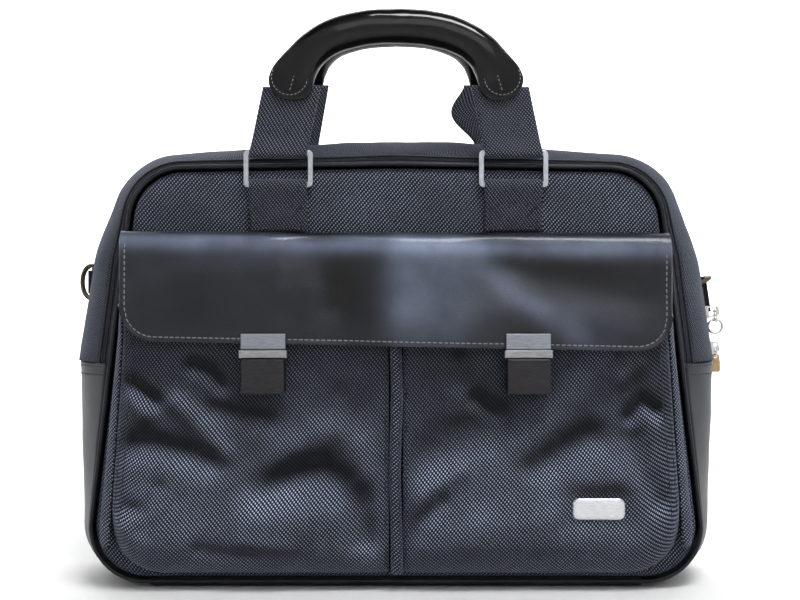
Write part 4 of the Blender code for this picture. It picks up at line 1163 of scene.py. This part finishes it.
WEBBING = woven(
    "nylon webbing", (0.0020, 0.0024, 0.0036), (0.185, 0.206, 0.262), 0.0019, 38, 0.66, 0.0003
)
RING_X = 0.078
RING_HEIGHT, RING_BAR = 0.0246, 0.0034
FRONT_RING = (-0.0351, 0.2684)  # y and z of the front rings' lower bar
REAR_RING = (0.0571, 0.2780)
WEB_HALF = 0.019
LAYER = 0.0014
LOOP_RADIUS = 0.0036
TAB_RADIUS = 0.0040
STRAP_LEAN = 0.009
REAR_EXTRA = 0.008  # the rear handle stands this much higher


def webbing(x, path, lean=None):
    """A flat strap that follows a line of (y, z), as a grid: rows along it, columns across."""
    path = np.asarray(path, float)
    across = np.linspace(-1, 1, 15)
    rib = (1 - np.abs(across) ** 6) * 0.00025
    way = np.gradient(path, axis=0)
    way = way / np.linalg.norm(way, axis=1)[:, None]
    out = np.stack((way[:, 1], -way[:, 0]), 1)
    grid = np.zeros((len(path), 15, 3))
    grid[..., 0] = x + across * WEB_HALF
    grid[..., 1] = path[:, :1] + out[:, :1] * rib
    grid[..., 2] = path[:, 1:] + out[:, 1:] * rib
    if lean is not None:
        grid[..., 0] += np.asarray(lean)[:, None]
    return grid


def bent(centre, radius, start, end):
    """An arc of (y, z) points between two angles in degrees."""
    angles = np.radians(np.linspace(start, end, 14))
    return np.stack((centre[0] + radius * np.cos(angles), centre[1] + radius * np.sin(angles)), 1)


def run(start, end, steps):
    """A straight run of (y, z) points."""
    return np.linspace(start, end, steps)


EDGES = (1.3, 12.7)  # the columns of a strap where its edge stitches run


def boxed_v(top, foot):
    """Stitch lines of a box with a V inside, between two rows of a strap."""
    one, other = EDGES
    middle = (one + other) / 2
    return [
        straight(top, one, foot, one),
        straight(top, other, foot, other),
        straight(top, one, foot, middle),
        straight(top, other, foot, middle),
        straight(top, one, top, other),
    ]


for which, (y, z), out, tail in (
    ("front", FRONT_RING, -1, 0.2372),
    ("rear", REAR_RING, 1, 0.2330),
):
    wall = FRONT_Y - 0.0022 if which == "front" else BACK_Y + 0.0022
    for side, sign in (("left", -1), ("right", 1)):
        x = sign * RING_X
        # the tab: up its face, round the ring's lower bar, and down behind
        turn_from, turn_to = (180, 0) if out < 0 else (0, 180)
        front_y = y + out * TAB_RADIUS
        lower = run((wall + out * 0.0020, tail), (wall + out * 0.0026, z - 0.014), 14)
        rise = run((wall + out * 0.0026, z - 0.013), (front_y, z - 0.001), 10)
        loop = bent((y, z), TAB_RADIUS, turn_from, turn_to)
        back = run((y - out * TAB_RADIUS * 0.9, z - 0.0035), (wall + out * 0.0004, tail), 12)
        grid = webbing(x, np.concatenate((lower, rise, loop, back)))
        tab = skin(f"{which}_{side}_tab_web", grid, WEBBING, LAYER, facing=(x, y - out * 0.05, z))
        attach(tab, "bag")
        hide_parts(f"{which}_{side}_tab")
        lines = boxed_v(13, 1) + [straight(20.5, EDGES[0], 20.5, EDGES[1])]
        rows = [sewn(grid, line, 0.0001) for line in lines]
        stitch(f"{which}_{side}_tab_stitches", rows)

        # the leg: both layers up from the ring's upper bar, leaning in to the grip
        bar = z + RING_HEIGHT - RING_BAR
        extra = 0.0 if which == "front" else REAR_EXTRA
        top = bar + 0.0435 + extra
        half_thick = 0.0016
        face_up = run((y - 0.0036, bar), (y - half_thick, bar + 0.010), 8)
        face_run = run((y - half_thick, bar + 0.012), (y - half_thick, top), 18)
        under = bent((y, bar), LOOP_RADIUS, 180, 360)
        back_up = run((y + 0.0036, bar), (y + half_thick, bar + 0.010), 8)
        back_run = run((y + half_thick, bar + 0.012), (y + half_thick, top), 18)
        path = np.concatenate(
            (face_run[::-1], face_up[::-1][:-1], under[:-1], back_up, back_run)
        )
        rise = np.clip((path[:, 1] - bar) / (top - bar), 0, 1)
        bow = 0.0
        if (which, side) == ("rear", "right"):
            bow = 0.013 * np.sin(math.pi * np.clip((rise - 0.18) / 0.82, 0, 1)) ** 1.5
        lean = -sign * (STRAP_LEAN * rise + bow)
        grid = webbing(x, path, lean)
        leg = skin(f"{which}_{side}_leg_web", grid, WEBBING, LAYER, facing=(x, y, bar + 0.01))
        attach(leg, f"{which}_handle")
        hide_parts(f"{which}_{side}_strap")
        end = len(path) - 1
        cross = [straight(r, 0.8, r, 13.2) for r in (13.5, 15.8, end - 13.5, end - 15.8)]
        rows = [sewn(grid, line, 0.0001) for line in cross]
        stitch(f"{which}_{side}_leg_stitches", rows, body=f"{which}_handle")

# ---------------------------------------------------------------- grips
# Each grip is smooth calf leather sewn round a soft core, with the seam along its underside. The
# ends are flat rounded paddles, stitched round the rim and down the middle over the webbing.

GRIP_HIDE = hide(
    "grip calf leather",
    (0.0030, 0.0030, 0.0034),
    (0.0065, 0.0065, 0.0075),
    roughness=0.34,
    grain=1500.0,
    bump=0.00006,
    coat=0.8,
    wax=0.09,
    shine=0.10,
)
PADDLE_OUT = 0.0042  # how far a paddle's middle stands out from the ring's plane
PADDLE_FACE = 0.0023  # from there to its face
PADDLE_X = 0.0700
RIM_RADIUS, RIM_HEIGHT = 0.0118, 0.0492
RIM_STITCH = (0.0018, 0.0007)
# x, height over the ring's upper bar, half width, half thickness, how far it stands out
HALF_ARCH = (
    (0.0738, 0.0350, 0.0030, 0.0010, PADDLE_OUT),
    (0.0735, 0.0360, 0.0066, 0.0013, PADDLE_OUT),
    (0.0728, 0.0378, 0.0102, 0.0016, PADDLE_OUT),
    (0.0718, 0.0405, 0.0130, 0.0018, PADDLE_OUT),
    (0.0705, 0.0440, 0.0146, 0.0020, PADDLE_OUT),
    (0.0690, 0.0485, 0.0148, 0.0024, PADDLE_OUT),
    (0.0672, 0.0525, 0.0140, 0.0044, 0.0034),
    (0.0645, 0.0575, 0.0127, 0.0072, 0.0018),
    (0.0600, 0.0645, 0.0115, 0.0098, 0.0006),
    (0.0510, 0.0730, 0.0110, 0.0110, 0.0),
    (0.0390, 0.0790, 0.0110, 0.0110, 0.0),
    (0.0240, 0.0828, 0.0110, 0.0110, 0.0),
    (0.0080, 0.0842, 0.0110, 0.0110, 0.0),
)


def grip_grid(y, base_z, reach, out):
    """A grip from paddle to paddle: rows follow its arch, columns go round it."""
    rows = [(x, h + reach, w, t, o) for x, h, w, t, o in HALF_ARCH]
    rows = np.array(rows + [(-x, h, w, t, o) for x, h, w, t, o in reversed(rows)])
    knots = np.arange(len(rows))
    fine_knots = np.linspace(0, len(rows) - 1, 150)
    smooth = np.stack([np.interp(fine_knots, knots, rows[:, k]) for k in range(5)], 1)
    for _ in range(6):
        smooth[1:-1] = (smooth[:-2] + 2 * smooth[1:-1] + smooth[2:]) / 4
    way = np.gradient(smooth[:, :2], axis=0)
    way = way / np.linalg.norm(way, axis=1)[:, None]
    angles = np.linspace(0, 2 * math.pi, 33)
    grid = np.zeros((len(smooth), 33, 3))
    for j, angle in enumerate(angles):
        u = smooth[:, 2] * math.copysign(abs(math.cos(angle)) ** 0.9, math.cos(angle))
        v = smooth[:, 3] * math.copysign(abs(math.sin(angle)) ** 0.8, math.sin(angle))
        seam = 0.0012 * math.exp(-(((angle - math.pi) / 0.16) ** 2))
        u = u - seam * np.clip(smooth[:, 3] / 0.01, 0, 1)
        grid[:, j, 0] = smooth[:, 0] + way[:, 1] * u
        grid[:, j, 1] = y + out * smooth[:, 4] + v
        grid[:, j, 2] = base_z + smooth[:, 1] - way[:, 0] * u
    return grid


for which, (y, z), out, extra in (
    ("front", FRONT_RING, -1, 0.0),
    ("rear", REAR_RING, 1, REAR_EXTRA),
):
    bar = z + RING_HEIGHT - RING_BAR
    grid = grip_grid(y, bar, extra, out)
    creases = ripple(grid, 0.014, 20) * 0.00035
    middle = grid[:, :-1].mean(1)[:, None]
    away = grid - middle
    away = away / np.maximum(np.linalg.norm(away, axis=2), 1e-9)[..., None]
    grid = grid + away * creases[..., None]
    grip = outward_skin(f"{which}_grip_hide", grid, GRIP_HIDE)
    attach(grip, f"{which}_handle")
    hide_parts(f"{which}_grip")

    rows = []
    face_y = y + out * (PADDLE_OUT + PADDLE_FACE)
    for sign in (-1, 1):
        centre_x = sign * PADDLE_X
        rim = [
            (
                centre_x + math.cos(angle) * RIM_RADIUS,
                face_y,
                bar + extra + (RIM_HEIGHT - math.sin(angle) * RIM_RADIUS),
            )
            for angle in np.linspace(-0.15 * math.pi, 1.15 * math.pi, 50)
        ]
        middle_seam = [
            (
                centre_x - sign * 0.0006 * k,
                y + out * (PADDLE_OUT + PADDLE_FACE + 0.0001 * k),
                bar + extra + 0.0400 + 0.0020 * k,
            )
            for k in range(8)
        ]
        for path in (np.array(rim), np.array(middle_seam)):
            ups = np.tile(np.array((0.0, float(out), 0.0)), (len(path), 1))
            middles, ways, spots = along(path, 0.0026)
            rows.append((middles, ways, ups_for(path, ups, spots), *RIM_STITCH))
    stitch(f"{which}_grip_stitches", rows, PAINTED_GLINT_THREAD, f"{which}_handle")

# ---------------------------------------------------------------- side rings
# Two small D rings of dark bronze wire take a shoulder strap. Short narrow webbing loops hold
# them on the gusset; the wire is plated.

BRONZE = brushed(
    "dark bronze", (0.075, 0.060, 0.048), (0.190, 0.160, 0.130), 0.32, (500.0, 500.0, 500.0)
)
for side in ("left", "right"):
    refinish(f"{side}_d_ring", BRONZE)
    refinish(f"{side}_d_loop", WEBBING)

# ---------------------------------------------------------------- zip sliders and pulls
# Two sliders meet on the right-hand side. They are plated steel with a bridge and a small link;
# the upper link carries a split ring, the lower one a short brass tab.

CHROME = brushed("plated steel", (0.50, 0.49, 0.48), (0.78, 0.77, 0.75), 0.20, (300.0, 300.0, 300.0))
BRASS = brushed("worn brass", (0.30, 0.22, 0.13), (0.58, 0.46, 0.30), 0.30, (400.0, 400.0, 400.0))
for which in ("upper", "lower"):
    refinish(f"{which}_zip_slider", CHROME)
    refinish(f"{which}_pull_link", CHROME)
refinish("upper_pull_ring", CHROME)
refinish("lower_pull_tab", BRASS)

# ---------------------------------------------------------------- floor, light and camera
# A plain pale round floor curves up into a wall, under soft studio light: a large light above and
# a little to the right, weak ones in front and behind, and a wash on the wall behind the bag.

FLOOR_RADIUS = 2.2


def backdrop():
    """A round floor that turns up into a wall and glows faintly away from the bag."""
    line = [(r, 0.0) for r in np.linspace(0.0005, FLOOR_RADIUS, 16)]
    bend = np.linspace(0, math.pi / 2, 12)[1:]
    line += [(FLOOR_RADIUS + math.sin(a), 1.0 - math.cos(a)) for a in bend]
    line += [(FLOOR_RADIUS + 1.0, z) for z in np.linspace(1.3, 3.4, 5)]
    turns = np.linspace(0, 2 * math.pi, 49)
    grid = np.array([[(r * math.cos(a), r * math.sin(a), z) for a in turns] for r, z in line])
    reach = np.array([r for r, z in line])[:, None] + np.zeros(grid.shape[:2])
    made, tree, shader = shader_nodes("pale floor", 0.9)
    place = add(tree, "TexCoord")
    soft = add(tree, "TexNoise", [("Vector", place, "Object")], Scale=2.0, Detail=2.0)
    shade = shades(tree, soft, "Fac", ((0.3, (0.82, 0.82, 0.82)), (0.7, (0.86, 0.86, 0.86))))
    tree.links.new(shader.inputs["Base Color"], shade.outputs["Color"])
    glow = add(tree, "Attribute", attribute_name="painted_light")
    tree.links.new(shader.inputs["Emission Strength"], glow.outputs["Fac"])
    shader.inputs["Emission Color"].default_value = (1.0, 1.0, 1.0, 1.0)
    glowing = 0.11 + 0.30 * np.clip(grid[..., 1] / 2.0, 0, 1)  # stronger behind the bag
    lit = np.clip((reach - 0.9) / 1.7, 0, 1) * glowing
    return skin("floor", grid, made, facing=(0, 0, -20.0), painted_light=lit)


backdrop()


def soft_light(name, place, aim, size, power):
    """A rectangular light that faces a point."""
    data = bpy.data.lights.new(name, "AREA")
    data.shape = "RECTANGLE"
    data.size, data.size_y = size
    data.energy = power
    obj = bpy.data.objects.new(name, data)
    obj.location = place
    obj.rotation_euler = (Vector(aim) - Vector(place)).to_track_quat("-Z", "Y").to_euler()
    bpy.context.scene.collection.objects.link(obj)


# each light's place, the point it faces, its width and height, and its watts
soft_light("key", (0.40, -0.85, 1.75), (0, 0, 0.18), (1.0, 0.45), 25.0)
soft_light("front", (0.5, -2.4, 1.3), (0, 0, 0.15), (1.6, 1.0), 8.0)
soft_light("rear", (-0.6, 1.5, 1.5), (0, 0, 0.2), (1.4, 1.0), 6.0)
soft_light("wash", (0.0, 1.3, 2.6), (0, 3.2, 0.9), (4.0, 0.8), 100.0)

scene = bpy.context.scene
scene.world = bpy.data.worlds.new("surround")
scene.world.use_nodes = True
surround = scene.world.node_tree.nodes["Background"]
surround.inputs["Color"].default_value = (1.0, 1.0, 1.0, 1.0)
surround.inputs["Strength"].default_value = 0.05
scene.view_settings.view_transform = "Standard"
scene.view_settings.gamma = 0.80

eye = bpy.data.cameras.new("camera")
eye.lens = 54.0
eye.sensor_width = 36.0
eye.clip_start = 0.05
camera = bpy.data.objects.new("camera", eye)
camera.location = (0.0027, -0.831, 0.192)
camera.rotation_euler = (math.radians(90), 0, 0)
scene.collection.objects.link(camera)
scene.camera = camera
